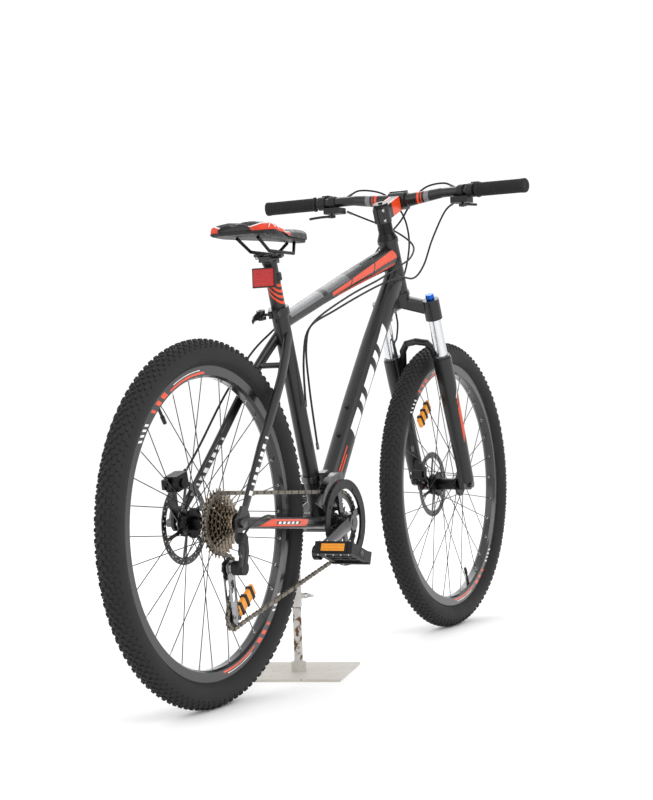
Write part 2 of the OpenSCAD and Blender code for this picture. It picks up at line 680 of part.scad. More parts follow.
saddle_x = [0, 8, 40, 80, 120, 165, 205, 245, 268, 276];
saddle_half = [8, 16, 20, 24, 36, 56, 70, 75, 66, 40];
saddle_rise_x = [-4, 0, 0, -2, -6, -8, -4, 2, 0, -6];
module saddle_form(drop, grow) {
  k = saddle_l / 276;
  m = saddle_w / 150;
  loft([for (i = [0 : 9]) [saddle_nose - saddle_x[i] * k, 0, saddle_z + saddle_rise_x[i] - drop]],
    [for (i = [0 : 9]) [saddle_half[i] * m + grow, i == 0 || i == 9 ? 9 : 16]], n = 28);
}
module saddle_pad() color("orangered") difference() {
  saddle_form(14, 0);
  translate([saddle_nose - 320, -120, saddle_z - 70]) cube([360, 240, 52]);
}
module saddle_shell() color("black") difference() {
  saddle_form(18, -3);
  translate([saddle_nose - 320, -120, saddle_z - 18]) cube([360, 240, 70]);
  translate([saddle_nose - 320, -120, saddle_z - 92]) cube([360, 240, 68]);
}

module rear_reflector() color("red") {
  seat_frame() translate([0, 0, seat_tube_l + 58]) tube(14, seatpost_d / 2 + 4, seatpost_d / 2);
  translate(flat(on_seat(seat_tube_l + 65)) + [-32, 0, -2]) {
    translate([-6, -26, -20]) cube([8, 52, 40]);
    translate([2, -5, -6]) cube([14, 10, 10]);
  }
}

// ---------------------------------------------------------------- fork and cockpit
module leg_place(side) translate([leg_fwd, side * leg_spacing, 0]) children();

module fork_crown() color("black") steer_frame() {
  translate([0, 0, fork_l]) cylinder(h = stem_top - fork_l - 4, r = steerer_r);
  difference() {
    union() {
      translate([0, 0, fork_l - 24]) cylinder(h = 24, r = 24);
      for (side = [-1, 1]) leg_place(side) translate([0, 0, crown_leg_low])
        cylinder(h = crown_leg_top - crown_leg_low, r = stanchion_d / 2 + 5);
      for (side = [-1, 1]) hull() {
        translate([2, 0, fork_l - 22]) cylinder(h = 16, r = 20, $fn = 32);
        translate([leg_fwd, side * (leg_spacing - 14), crown_leg_top - 30])
          cylinder(h = 22, r = 15, $fn = 32);
      }
    }
    for (side = [-1, 1]) leg_place(side) translate([0, 0, crown_leg_low - 5])
      cylinder(h = crown_leg_top - crown_leg_low + 1, r = stanchion_d / 2);
    leg_place(-1) translate([0, 0, crown_leg_top - 20]) cylinder(h = 40, r = 6);
  }
}

module stanchions() color("silver") steer_frame() for (side = [-1, 1]) leg_place(side) {
  translate([0, 0, stanchion_low]) tube(crown_leg_top - 4 - stanchion_low, stanchion_d / 2, stanchion_d / 2 - 2);
}

module preload_knob() color("royalblue") steer_frame() leg_place(-1) {
  translate([0, 0, crown_leg_top + move_gap]) difference() {
    cylinder(h = 12, r = 10);
    for (a = [0 : 60 : 300]) rotate(a) translate([11, 0, -1]) cylinder(h = 20, r = 2.5);
  }
  translate([0, 0, crown_leg_top - 3]) cylinder(h = 5, r = 6 - run_gap);
}

leg_r = stanchion_d / 2 + 7;
foot_y = leg_spacing - 15;
arch_path = [[10, 50, -45], [13, 44, -10], [14, 40, 15], [13, 26, 34], [12, 0, 39]];
function arch_point(i, side) = [leg_fwd + arch_path[i][0], side * arch_path[i][1], lower_top + arch_path[i][2]];
module leg_tube() {
  translate([0, 0, lower_top - 60]) cylinder(h = 60, r = leg_r);
  translate([0, 0, 20]) cylinder(h = lower_top - 80, r1 = leg_r - 4, r2 = leg_r);
  translate([0, 0, lower_top]) cylinder(h = 5, r = leg_r - 2);
}
module lower_legs() color("black") steer_frame() {
  difference() {
    union() {
      for (side = [-1, 1]) leg_place(side) leg_tube();
      // Dropouts reach forward from the foot of each leg to the axle
      for (side = [-1, 1]) translate([0, side * foot_y, 0]) rotate([90, 0, 0])
        translate([0, 0, side < 0 ? 0 : -12]) linear_extrude(height = 12) {
          slot2d([leg_fwd, 32], [fork_offset, 0], 14);
          translate([leg_fwd - 15, 2]) square([22, 40]);
          if (side > 0) slot2d([leg_fwd - 4, 50], [-8, 54], 13);
        }
    }
    for (side = [-1, 1]) leg_place(side) translate([0, 0, leg_bore_low])
      cylinder(h = lower_top, r = stanchion_d / 2 + run_gap);
    translate([fork_offset, 0, 0]) rotate([90, 0, 0]) translate([0, 0, -100]) cylinder(h = 200, r = axle_r);
  }
  // Arch over the tyre, joining the two legs
  difference() {
    loft([for (i = [0 : 4]) arch_point(i, -1), for (i = [3 : -1 : 0]) arch_point(i, 1)],
      [for (i = [0 : 8]) [9, 8.5]], ref = [1, 0, 0], n = 20);
    for (side = [-1, 1]) leg_place(side) cylinder(h = fork_l, r = leg_r - 1);
  }
}

module front_axle() color("silver") axle_frame([front_x, axle_h]) {
  half = foot_y;
  translate([0, 0, -half - 18]) cylinder(h = 2 * half + 36, r = axle_r);
  for (side = [-1, 1]) translate([0, 0, side * (half - 1.5) - 1.5]) cylinder(h = 3, r = 8.5);
  for (side = [-1, 1]) translate([0, 0, side * (half + 15.5) - 3.5]) cylinder(h = 7, r = 9);
  translate([0, 0, -half - 26]) cylinder(h = 9, r = 8);
  translate([0, 0, -half - 25]) linear_extrude(height = 5) slot2d([0, 0], [-20, 44], 5);
}

module front_caliper() color("black") difference() {
  axle_frame([front_x, axle_h]) caliper(front_caliper_a, front_rotor_z, foot_y + front_rotor_z);
  steer_frame() leg_place(1) cylinder(h = 200, r = stanchion_d / 2 + 8);
}

stem_mid = stem_low + stem_h / 2;
bar_c = flat(on_steer(stem_mid, stem_l));
module stem() color("black") steer_frame() {
  difference() {
    union() {
      translate([0, 0, stem_low]) cylinder(h = stem_h, r = 19);
      translate([8, -13, stem_mid - 17]) cube([stem_l - 26, 26, 34]);
      translate([stem_l, 0, stem_mid]) rotate([90, 0, 0]) translate([0, 0, -21]) cylinder(h = 42, r = 21);
      translate([-24, -11, stem_low + 3]) cube([14, 22, stem_h - 6]);
    }
    translate([0, 0, stem_low - 1]) cylinder(h = stem_h + 2, r = steerer_r);
    translate([stem_l, 0, stem_mid]) rotate([90, 0, 0]) translate([0, 0, -30]) cylinder(h = 60, r = 15.9);
    translate([stem_l + 1, -40, stem_mid - 40]) cube([60, 80, 80]);
    translate([-60, -1, stem_low - 1]) cube([60, 2, stem_h + 2]);
  }
}

module face_plate() color("black") steer_frame() translate([stem_l, 0, stem_mid]) {
  difference() {
    rotate([90, 0, 0]) translate([0, 0, -21]) cylinder(h = 42, r = 21);
    rotate([90, 0, 0]) translate([0, 0, -30]) cylinder(h = 60, r = 15.9);
    translate([-60, -40, -40]) cube([62.5, 80, 80]);
    rotate([90, 0, 0]) cylinder(h = 14, r = 60, center = true);
  }
  for (z = [-18.5, 18.5]) difference() {
    translate([2.5, -21, z - 4.5]) cube([7, 42, 9]);
    rotate([90, 0, 0]) translate([0, 0, -30]) cylinder(h = 60, r = 21);
  }
  for (z = [-18.5, 18.5], y = [-14, 14]) translate([9.5, y, z]) rotate([0, 90, 0]) cylinder(h = 4, r = 3);
}

module headset_stack() color("black") steer_frame() {
  translate([0, 0, cone_low]) difference() {
    cylinder(h = cone_h, r1 = head_tube_d / 2 + 1, r2 = 18);
    translate([0, 0, -1]) cylinder(h = cone_h + 2, r = steerer_r);
  }
  for (k = [0, 1]) translate([0, 0, cone_low + cone_h + k * spacer_h / 2 + 0.2])
    tube(spacer_h / 2 - 0.4, 17.5, steerer_r);
  translate([0, 0, stem_top]) cylinder(h = cap_h, r = 17);
  translate([0, 0, stem_top + cap_h]) cylinder(h = 3, r = 5);
}

bar_rise = 9;
bar_bend_y = 110;
bar_sweep = 40;
bar_bend = bar_c + [-4, bar_bend_y, bar_rise];
bar_end = bar_c + [-bar_sweep, bar_w / 2 - 2, 4];
function on_bar(y) = mix(bar_bend, bar_end, (y - bar_bend_y) / (bar_w / 2 - 2 - bar_bend_y));

module handlebar() color("black") {
  rod(bar_c - [0, 30, 0], bar_c + [0, 30, 0], 15.9);
  mirrored() {
    rod(bar_c + [0, 29, 0], bar_bend + [0, 3, 0], 15.5, bar_d / 2 + 0.7);
    rod(bar_bend - 9 * unit(bar_end - bar_bend), bar_end, bar_d / 2);
  }
}

grip_y = bar_w / 2 - grip_l;
module grips() color("black") mirrored() difference() {
  union() {
    rod(on_bar(grip_y), on_bar(bar_w / 2), grip_d / 2);
    rod(on_bar(grip_y), on_bar(grip_y + 6), grip_d / 2 + 2);
    rod(on_bar(bar_w / 2 - 8), on_bar(bar_w / 2), grip_d / 2 + 1);
  }
  rod(bar_bend, bar_end, bar_d / 2);
}

// Brake lever mounts, the shifter pods under the bar, and their clamps
brake_y = grip_y - 16;
pod_y = grip_y - 42;
lever_pivot = on_bar(brake_y) + [30, 0, 9];
shift_pivot = on_bar(pod_y) + [-4, 2, -30];
module bar_controls() color("dimgray") mirrored() {
  difference() {
    union() {
      rod(on_bar(brake_y - 8), on_bar(brake_y + 8), bar_d / 2 + 5);
      translate(on_bar(brake_y) + [6, -30, 2]) cube([14.5, 42, 14]);
      rod(on_bar(brake_y) + [15, -26, 9], on_bar(brake_y) + [26, -52, 12], 5, 3.5);
      rod(on_bar(pod_y - 7), on_bar(pod_y + 7), bar_d / 2 + 4);
      translate(on_bar(pod_y) + [-16, -24, -27]) cube([36, 42, 14]);
    }
    rod(bar_bend, bar_end, bar_d / 2);
  }
  translate(lever_pivot + [0, 0, -12]) cylinder(h = 24, r = 3);
  difference() {
    translate(lever_pivot + [-14, -9, -12]) cube([22, 18, 24]);
    translate(lever_pivot + [-10, -30, -6]) cube([40, 60, 12]);
  }
  translate(shift_pivot + [0, 0, -7]) cylinder(h = 10, r = 3);
}

module brake_lever(side) color("silver") mirror([0, side < 0 ? 1 : 0, 0]) translate(lever_pivot) difference() {
  union() {
    translate([0, 0, -5.6]) cylinder(h = 11.2, r = 7.5);
    loft([[3, 0, 0], [14, 10, 0], [27, 26, 0], [32, 60, -1], [30, 90, -2], [26, 110, -2]],
      [[5, 5], [4, 5], [3.5, 5.5], [3.5, 6], [3.5, 6], [3, 4.5]], ref = [1, 0, 0], n = 16);
  }
  translate([0, 0, -20]) cylinder(h = 40, r = 3 + run_gap);
}
module brake_lever_right() brake_lever(-1);
module brake_lever_left() brake_lever(1);

module shift_lever(side) color("black") mirror([0, side < 0 ? 1 : 0, 0]) translate(shift_pivot) difference() {
  union() {
    translate([0, 0, -6]) cylinder(h = 6, r = 9);
    loft([[-4, 2, -3], [-16, 14, -4], [-26, 30, -6], [-30, 44, -8]],
      [[4, 3], [4, 3], [6, 3], [7, 3]], ref = [1, 1, 0], n = 16);
  }
  translate([0, 0, -20]) cylinder(h = 40, r = 3 + run_gap);
}
module shift_lever_right() shift_lever(-1);
module shift_lever_left() shift_lever(1);

// ---------------------------------------------------------------- wheels
tread_h = 3;
casing_r = tyre_w / 2;
casing_mid = wheel_d / 2 - tread_h - casing_r;
rim_top_r = rim_inner_d / 2 + 22;
bead_gap = 0.3;
module tyre() rotate_extrude($fn = 96) difference() {
  union() {
    difference() {
      translate([casing_mid, 0]) circle(casing_r);
      translate([rim_top_r - 40, -rim_w]) square([40 + bead_gap, 2 * rim_w]);
    }
    intersection() {
      translate([casing_mid, 0]) circle(casing_r + tread_h);
      translate([casing_mid + 14, -40]) square([40, 80]);
    }
    for (side = [-1, 1]) translate([rim_top_r - 9, side * (rim_w / 2 - 3) - 1]) square([16, 2]);
  }
  translate([casing_mid, 0]) circle(casing_r - 3);
  translate([rim_top_r - 30, -rim_w / 2 + 4]) square([36, rim_w - 8]);
}
module rim() rotate_extrude($fn = 96) difference() {
  r = rim_inner_d / 2;
  w = rim_w / 2;
  polygon([[rim_top_r, w], [r + 4, w], [r, w * 0.55], [r, -w * 0.55], [r + 4, -w], [rim_top_r, -w]]);
  translate([r + 12, -w + 1.6]) square([20, rim_w - 3.2]);
  polygon([[r + 9.5, w - 2.5], [r + 4.5, w - 3.5], [r + 2.5, w * 0.5], [r + 2.5, -w * 0.5],
    [r + 4.5, -w + 3.5], [r + 9.5, -w + 2.5]]);
}
hub_hole_r = 25;
// Spokes cross three times on the way from a flange to the rim
module spokes(flange_z) {
  per_side = spoke_n / 2;
  step = 360 / per_side;
  for (side = [0, 1], k = [0 : per_side - 1]) {
    lean = k % 2 == 0 ? 1 : -1;
    a = k * step + side * step / 2;
    b = a + lean * 3 * step;
    z = flange_z[side];
    out = (z > 0 ? 1 : -1);
    hub = [hub_hole_r * cos(a), hub_hole_r * sin(a), z + lean * 2.4];
    end = [(rim_inner_d / 2 + 2) * cos(b), (rim_inner_d / 2 + 2) * sin(b), out * 2];
    rod(hub, end, 0.9);
  }
}
module hub(flange_z, ends, rotor_z) difference() {
  union() {
    translate([0, 0, ends[0]]) cylinder(h = ends[1] - ends[0], r = 14);
    for (z = flange_z) translate([0, 0, z - 1.6]) cylinder(h = 3.2, r = 29);
    translate([0, 0, rotor_z + 0.9]) cylinder(h = flange_z[0] - rotor_z, r = 22);
  }
  translate([0, 0, -100]) cylinder(h = 200, r = axle_r + run_gap);
}
module rotor() difference() {
  translate([0, 0, -0.9]) linear_extrude(height = 1.8) difference() {
    union() {
      difference() {
        circle(rotor_d / 2);
        circle(rotor_d / 2 - 14);
      }
      circle(26);
      for (a = [0 : 60 : 300]) rotate(a) translate([16, 12]) rotate(14) square([rotor_d / 2 - 22, 7]);
    }
    circle(15);
    for (a = [0 : 60 : 300]) rotate(a) translate([20.5, 0]) circle(2.6);
    for (a = [0 : 15 : 345]) rotate(a) translate([rotor_d / 2 - 10, 0]) circle(2);
    for (a = [7.5 : 15 : 352.5]) rotate(a) translate([rotor_d / 2 - 5, 0]) circle(2);
  }
}

front_flanges = [-24, 34];
rear_flanges = [-32, 20];
module at_front() axle_frame([front_x, axle_h]) children();
module at_rear() axle_frame([rear_x, axle_h]) children();
module front_tyre() color("black") at_front() tyre();
module front_rim() color("dimgray") at_front() rim();
module front_spokes() color("silver") at_front() spokes(front_flanges);
module front_hub() color("dimgray") at_front() hub(front_flanges, [-44, 44], front_rotor_z);
module front_rotor() color("gray") at_front() translate([0, 0, front_rotor_z]) rotor();
module rear_tyre() color("black") at_rear() tyre();
module rear_rim() color("dimgray") at_rear() rim();
module rear_spokes() color("silver") at_rear() spokes(rear_flanges);
module rear_hub() color("dimgray") at_rear() hub(rear_flanges, [-62, 23], rear_rotor_z);
module rear_rotor() color("gray") at_rear() translate([0, 0, rear_rotor_z]) rotor();

module cassette() color("gray") at_rear() difference() {
  last_z = cog_y0 + 7 * cog_step;
  union() {
    translate([0, 0, 23.6]) cylinder(h = last_z - 22, r = 17);
    for (k = [0 : 7]) translate([0, 0, cog_y0 + k * cog_step - cog_t / 2]) linear_extrude(height = cog_t)
      difference() {
        sprocket2d(cog_teeth[k], k == chain_cog ? phase(1) : 0);
        if (cog_teeth[k] > 19) for (a = [0 : 60 : 300]) rotate(a + k * 20)
          translate([pitch_r(cog_teeth[k]) * 0.5 + 8, 0]) circle(pitch_r(cog_teeth[k]) * 0.17);
      }
    translate([0, 0, last_z + 1]) cylinder(h = 3, r = 19);
  }
  translate([0, 0, -1]) cylinder(h = 100, r = axle_r + run_gap);
}

// ---------------------------------------------------------------- cables
// Routes of the outer cables, in millimetres from the frame's origin
rear_brake_route = [[349, -140, 1053], [356, -110, 1066], [366, -60, 1062], [376, -20, 1036], [368, 10, 988],
  [330, 34, 945], [270, 34, 905], [190, 26, 860], [60, 24, 815], [-90, 24, 772], [-190, 24, 742],
  [-246, 30, 714], [-300, 46, 672], [-380, 63, 590], [-470, 66, 500], [-530, 60, 456], [-552, 54, 450]];
front_brake_route = [[349, 140, 1053], [362, 110, 1068], [390, 60, 1056], [412, 26, 1010], [420, 14, 950],
  [416, 20, 890], [402, 34, 830], [392, 43, 786], [400, 43, 746], [390, 42, 712], [378, 43, 678],
  [440, 44, 520], [462, 43, 436]];
rear_shift_route = [[346, -141, 1019], [368, -104, 1000], [386, -62, 940], [372, -44, 880], [330, -36, 848],
  [250, -34, 846], [120, -30, 816], [-60, -28, 764], [-180, -28, 724], [-214, -30, 660], [-205, -26, 560]];
front_shift_route = [[346, 141, 1019], [370, 104, 1000], [384, 40, 970], [364, -20, 930], [310, -40, 896],
  [250, -38, 872], [150, -34, 838], [0, -32, 796], [-160, -30, 738], [-200, -30, 690], [-190, -28, 600],
  [-160, -27, 470]];
derailleur_route = [[-440, -76, 352], [-500, -90, 358], [-580, -98, 342], [-604, -92, 306], [-584, -82, 290]];
module cable(route) loft(route, [for (p = route) [cable_r, cable_r]], ref = [0.11, 0.31, 0.94], n = 8);
module control_cables() color("black") {
  cable(rear_brake_route);
  cable(front_brake_route);
  cable(rear_shift_route);
  cable(front_shift_route);
  cable(derailleur_route);
}

base_plate();
inner_post();
stand_sleeve();
wing_screw();
head_tube();
top_tube();
down_tube();
seat_tube();
bb_shell();
chain_stays();
seat_stays();
seat_clamp();
seat_lever();
rear_axle();
rear_caliper();
front_derailleur();
rear_derailleur();
chain();
control_cables();
seat_post();
saddle_rails();
saddle_shell();
saddle_pad();
rear_reflector();
fork_crown();
stanchions();
stem();
face_plate();
headset_stack();
handlebar();
grips();
bar_controls();
preload_knob();
brake_lever_right();
brake_lever_left();
shift_lever_right();
shift_lever_left();
lower_legs();
front_axle();
front_caliper();
front_tyre();
front_rim();
front_spokes();
front_hub();
front_rotor();
rear_tyre();
rear_rim();
rear_spokes();
rear_hub();
rear_rotor();
cassette();
crank_right();
crank_left();
chain_rings();
chain_guard();
derailleur_cage();
guide_pulley();
tension_pulley();
pedal_right();
pedal_left();
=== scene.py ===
"""Looks of a hardtail mountain bicycle on its post stand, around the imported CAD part."""
import json
import math

import bpy
from mathutils import Matrix, Vector


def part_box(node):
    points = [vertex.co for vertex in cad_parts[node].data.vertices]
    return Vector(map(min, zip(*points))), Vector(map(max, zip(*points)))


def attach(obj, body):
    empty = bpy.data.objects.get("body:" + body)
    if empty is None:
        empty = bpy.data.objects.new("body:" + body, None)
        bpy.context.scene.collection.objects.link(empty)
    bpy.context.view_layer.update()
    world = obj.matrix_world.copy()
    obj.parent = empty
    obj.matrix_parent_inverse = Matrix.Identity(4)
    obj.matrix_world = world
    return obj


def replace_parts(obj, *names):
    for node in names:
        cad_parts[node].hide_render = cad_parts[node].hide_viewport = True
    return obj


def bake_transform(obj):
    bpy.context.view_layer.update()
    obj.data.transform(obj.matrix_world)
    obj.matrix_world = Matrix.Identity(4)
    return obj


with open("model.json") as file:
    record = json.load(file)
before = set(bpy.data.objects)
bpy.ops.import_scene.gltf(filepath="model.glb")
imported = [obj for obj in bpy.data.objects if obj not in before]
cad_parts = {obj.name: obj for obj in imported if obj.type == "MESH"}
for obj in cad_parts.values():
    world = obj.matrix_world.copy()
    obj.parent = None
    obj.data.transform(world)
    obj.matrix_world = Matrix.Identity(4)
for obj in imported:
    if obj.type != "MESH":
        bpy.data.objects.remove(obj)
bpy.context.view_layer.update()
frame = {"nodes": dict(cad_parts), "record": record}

# ---------------------------------------------------------------- camera
CAMERA_AT = Vector((-3.3235, -1.7149, 0.5941))
CAMERA_RIGHT = Vector((0.464943, -0.884583, -0.036610))
CAMERA_UP = Vector((0.022347, -0.029613, 0.999312))
CAMERA_LENS = 77.13


def make_camera():
    data = bpy.data.cameras.new("camera")
    data.lens = CAMERA_LENS
    data.sensor_width = 36.0
    data.clip_start, data.clip_end = 0.05, 60.0
    camera = bpy.data.objects.new("camera", data)
    bpy.context.scene.collection.objects.link(camera)
    back = CAMERA_RIGHT.cross(CAMERA_UP)
    columns = Matrix((CAMERA_RIGHT, CAMERA_UP, back)).transposed()
    camera.matrix_world = Matrix.Translation(CAMERA_AT) @ columns.to_4x4()
    bpy.context.scene.camera = camera


make_camera()

# ---------------------------------------------------------------- places, from the frame
MM = 0.001


JOINTS = {joint["name"]: joint for joint in frame["record"]["behaviour"]["joints"]}


def joint_at(name):
    return Vector(JOINTS[name]["pos_m"])


REAR_AXLE = joint_at("rear_wheel_spin")
FRONT_AXLE = joint_at("front_wheel_spin")
BB = joint_at("crank_spin")
STEER_AXIS = Vector(JOINTS["steering"]["axis"]).normalized()
STEER_FOOT = joint_at("steering")
SEAT_AXIS = Vector(JOINTS["seatpost_height"]["axis"]).normalized()
WHEEL_R = REAR_AXLE.z


def across(axis):
    """Forward direction at right angles to an axis in the middle plane."""
    return Vector((axis.z, 0, -axis.x))


STEER_FORWARD = across(STEER_AXIS)
SEAT_FORWARD = across(SEAT_AXIS)


def on_steer(s, forward=0.0, y=0.0):
    return STEER_FOOT + STEER_AXIS * s + STEER_FORWARD * forward + Vector((0, y, 0))


def on_seat(t, forward=0.0, y=0.0):
    return BB + SEAT_AXIS * t + SEAT_FORWARD * forward + Vector((0, y, 0))


# ---------------------------------------------------------------- shader graph helpers
class Graph:
    """A material's node tree, with one-line calls for the nodes used here."""

    def __init__(self, name):
        self.material = bpy.data.materials.new(name)
        self.material.use_nodes = True
        self.tree = self.material.node_tree
        self.shader = self.tree.nodes["Principled BSDF"]
        self.position = self.tree.nodes.new("ShaderNodeTexCoord").outputs["Object"]

    def feed(self, socket, value):
        if isinstance(value, bpy.types.NodeSocket):
            self.tree.links.new(value, socket)
        elif hasattr(socket.default_value, "__len__") and len(value) == 3:
            socket.default_value = (*value, 1.0) if len(socket.default_value) == 4 else value
        else:
            socket.default_value = value

    def math(self, operation, a, b=0.0):
        node = self.tree.nodes.new("ShaderNodeMath")
        node.operation = operation
        self.feed(node.inputs[0], a)
        self.feed(node.inputs[1], b)
        return node.outputs[0]

    def dot(self, direction, origin=(0, 0, 0)):
        """Distance of a point from origin, along direction."""
        node = self.tree.nodes.new("ShaderNodeVectorMath")
        node.operation = "DOT_PRODUCT"
        self.feed(node.inputs[0], self.position)
        self.feed(node.inputs[1], tuple(direction))
        return self.math("SUBTRACT", node.outputs["Value"], Vector(direction).dot(Vector(origin)))

    def noise(self, scale, detail=3.0, low=0.35, high=0.65, stretch=None):
        """Noise from 0 to 1, with its contrast set by low and high."""
        node = self.tree.nodes.new("ShaderNodeTexNoise")
        node.inputs["Scale"].default_value = scale
        node.inputs["Detail"].default_value = detail
        source = self.position
        if stretch:
            mapping = self.tree.nodes.new("ShaderNodeMapping")
            mapping.inputs["Scale"].default_value = stretch
            self.feed(mapping.inputs["Vector"], source)
            source = mapping.outputs[0]
        self.feed(node.inputs["Vector"], source)
        return self.spread(node.outputs[0], low, high)

    def spread(self, value, low, high, to_low=0.0, to_high=1.0):
        node = self.tree.nodes.new("ShaderNodeMapRange")
        for i, v in enumerate((value, low, high, to_low, to_high)):
            self.feed(node.inputs[i], v)
        return node.outputs[0]

    def mix(self, factor, a, b):
        node = self.tree.nodes.new("ShaderNodeMix")
        node.data_type = "RGBA"
        self.feed(node.inputs[0], factor)
        self.feed(node.inputs[6], a)
        self.feed(node.inputs[7], b)
        return node.outputs[2]

    def between(self, value, low, high):
        """1 where value lies between low and high, else 0."""
        over = self.math("GREATER_THAN", value, low)
        under = self.math("LESS_THAN", value, high)
        return self.math("MULTIPLY", over, under)

    def both(self, *masks):
        result = masks[0]
        for mask in masks[1:]:
            result = self.math("MULTIPLY", result, mask)
        return result

    def either(self, *masks):
        result = masks[0]
        for mask in masks[1:]:
            result = self.math("MAXIMUM", result, mask)
        return result

    def bump(self, height, strength, distance=0.0005):
        node = self.tree.nodes.new("ShaderNodeBump")
        node.inputs["Strength"].default_value = strength
        node.inputs["Distance"].default_value = distance
        self.feed(node.inputs["Height"], height)
        self.feed(self.shader.inputs["Normal"], node.outputs[0])

    def finish(self, color, roughness, metallic=0.0, coat=0.0, **more):
        self.feed(self.shader.inputs["Base Color"], color)
        self.feed(self.shader.inputs["Roughness"], roughness)
        self.feed(self.shader.inputs["Metallic"], metallic)
        self.shader.inputs["Coat Weight"].default_value = coat
        self.shader.inputs["Coat Roughness"].default_value = 0.12
        self.shader.inputs["Specular IOR Level"].default_value = 0.35
        for name, value in more.items():
            self.feed(self.shader.inputs[name.replace("_", " ")], value)
        return self.material


def shade(color, factor):
    return tuple(min(1.0, c * factor) for c in color)


def paint(name, color, roughness=0.35, coat=0.3, grain=900.0):
    """Sprayed paint: orange-peel bump, faint mottling and dust."""
    g = Graph(name)
    mottle = g.noise(35, 4)
    g.bump(g.noise(grain, 2), 0.06)
    tone = g.mix(mottle, shade(color, 0.85), shade(color, 1.15))
    return g.finish(tone, g.spread(mottle, 0, 1, roughness * 0.85, roughness * 1.2), coat=coat)


def metal(name, color, roughness=0.3, brushed=None, dirt=0.0):
    """Bare metal, brushed along an axis or plain, with grime in patches."""
    g = Graph(name)
    stretch = brushed or (1, 1, 1)
    lines = g.noise(700, 3, 0.3, 0.7, stretch)
    grime = g.noise(55, 5, 0.45, 0.75)
    tone = g.mix(lines, shade(color, 0.8), shade(color, 1.1))
    tone = g.mix(g.math("MULTIPLY", grime, dirt), tone, (0.03, 0.025, 0.02))
    g.bump(lines, 0.08)
    rough = g.spread(grime, 0, 1, roughness * 0.8, roughness * 1.3)
    return g.finish(tone, rough, 1.0)


def plastic(name, color, roughness=0.5, grain=1200.0, strength=0.15):
    """Moulded plastic with a fine grain."""
    g = Graph(name)
    fine = g.noise(grain, 2)
    patch = g.noise(40, 3)
    g.bump(fine, strength)
    tone = g.mix(patch, shade(color, 0.8), shade(color, 1.25))
    return g.finish(tone, g.spread(patch, 0, 1, roughness * 0.9, roughness * 1.15))


def rubber(name, color=(0.009, 0.009, 0.0095), roughness=0.66):
    g = Graph(name)
    dust = g.noise(22, 6, 0.4, 0.75)
    g.bump(g.noise(1600, 3), 0.2)
    tone = g.mix(g.math("MULTIPLY", dust, 0.35), color, shade(color, 2.4))
    return g.finish(tone, g.spread(dust, 0, 1, roughness, roughness + 0.15))


def lens(name, color):
    """Reflector plastic over small pyramids, with painted shade in the hollows between them and painted
    highlights on their peaks.
    """
    g = Graph(name)
    checks = []
    for axis in ((1, 0, 0), (0, 1, 0), (0, 0, 1)):
        checks.append(g.math("PINGPONG", g.dot(axis), 0.0011))
    height = g.math("ADD", g.math("ADD", checks[0], checks[1]), checks[2])
    g.bump(g.math("MULTIPLY", height, 300.0), 0.5, 0.001)
    # painted shade and highlight: the colour darkens in the pyramid hollows and brightens on the pyramid
    # peaks
    tone = g.mix(g.spread(height, 0, 0.003), shade(color, 0.55), shade(color, 1.3))
    return g.finish(tone, 0.3, coat=0.25)


BLACK = (0.006, 0.006, 0.0065)
ORANGE = (0.72, 0.055, 0.008)
WHITE = (0.78, 0.78, 0.76)
GREY = (0.16, 0.165, 0.175)

black_paint = paint("black_paint", BLACK, 0.38)
black_gloss = paint("black_gloss", (0.01, 0.01, 0.011), 0.2, 0.6)
black_alloy = metal("black_alloy", (0.025, 0.025, 0.027), 0.36)
dark_steel = metal("dark_steel", (0.13, 0.13, 0.135), 0.32, dirt=0.3)
chain_steel = metal("chain_steel", (0.22, 0.2, 0.17), 0.36, dirt=0.6)
nickel = metal("nickel", (0.36, 0.31, 0.25), 0.3, dirt=0.45)
silver = metal("silver", (0.62, 0.62, 0.63), 0.26, dirt=0.1)
cage_alloy = metal("cage_alloy", (0.34, 0.34, 0.35), 0.3, dirt=0.35)
spoke_steel = metal("spoke_steel", (0.03, 0.03, 0.032), 0.35, dirt=0.2)
chrome = metal("chrome", (0.72, 0.73, 0.75), 0.09)
black_plastic = plastic("black_plastic", (0.008, 0.008, 0.0085))
grip_rubber = rubber("grip_rubber", (0.008, 0.008, 0.008), 0.7)
tyre_rubber = rubber("tyre_rubber")
blue_alloy = metal("blue_alloy", (0.02, 0.13, 0.62), 0.28)
red_alloy = metal("red_alloy", (0.6, 0.03, 0.015), 0.3)
orange_paint = paint("orange_paint", ORANGE, 0.3, 0.5)
white_paint = paint("white_paint", WHITE, 0.35)
amber_lens = lens("amber_lens", (0.95, 0.3, 0.02))
red_lens = lens("red_lens", (0.5, 0.008, 0.008))


def stand_paint(name, color, wear_low, wear_high):
    """Old white paint, stained and worn through to rust and steel."""
    g = Graph(name)
    stain = g.noise(18, 6, 0.4, 0.7)
    chip = g.noise(95, 5, wear_low, wear_high)
    tone = g.mix(g.math("MULTIPLY", stain, 0.55), color, (0.45, 0.4, 0.33))
    tone = g.mix(chip, tone, (0.12, 0.055, 0.025))
    g.bump(g.math("SUBTRACT", 1.0, chip), 0.4)
    return g.finish(tone, g.spread(chip, 0, 1, 0.45, 0.8))


plate_paint = stand_paint("plate_paint", (0.5, 0.48, 0.44), 0.66, 0.73)
post_paint = stand_paint("post_paint", (0.52, 0.51, 0.49), 0.5, 0.58)
sleeve_paint = stand_paint("sleeve_paint", (0.6, 0.6, 0.59), 0.7, 0.78)

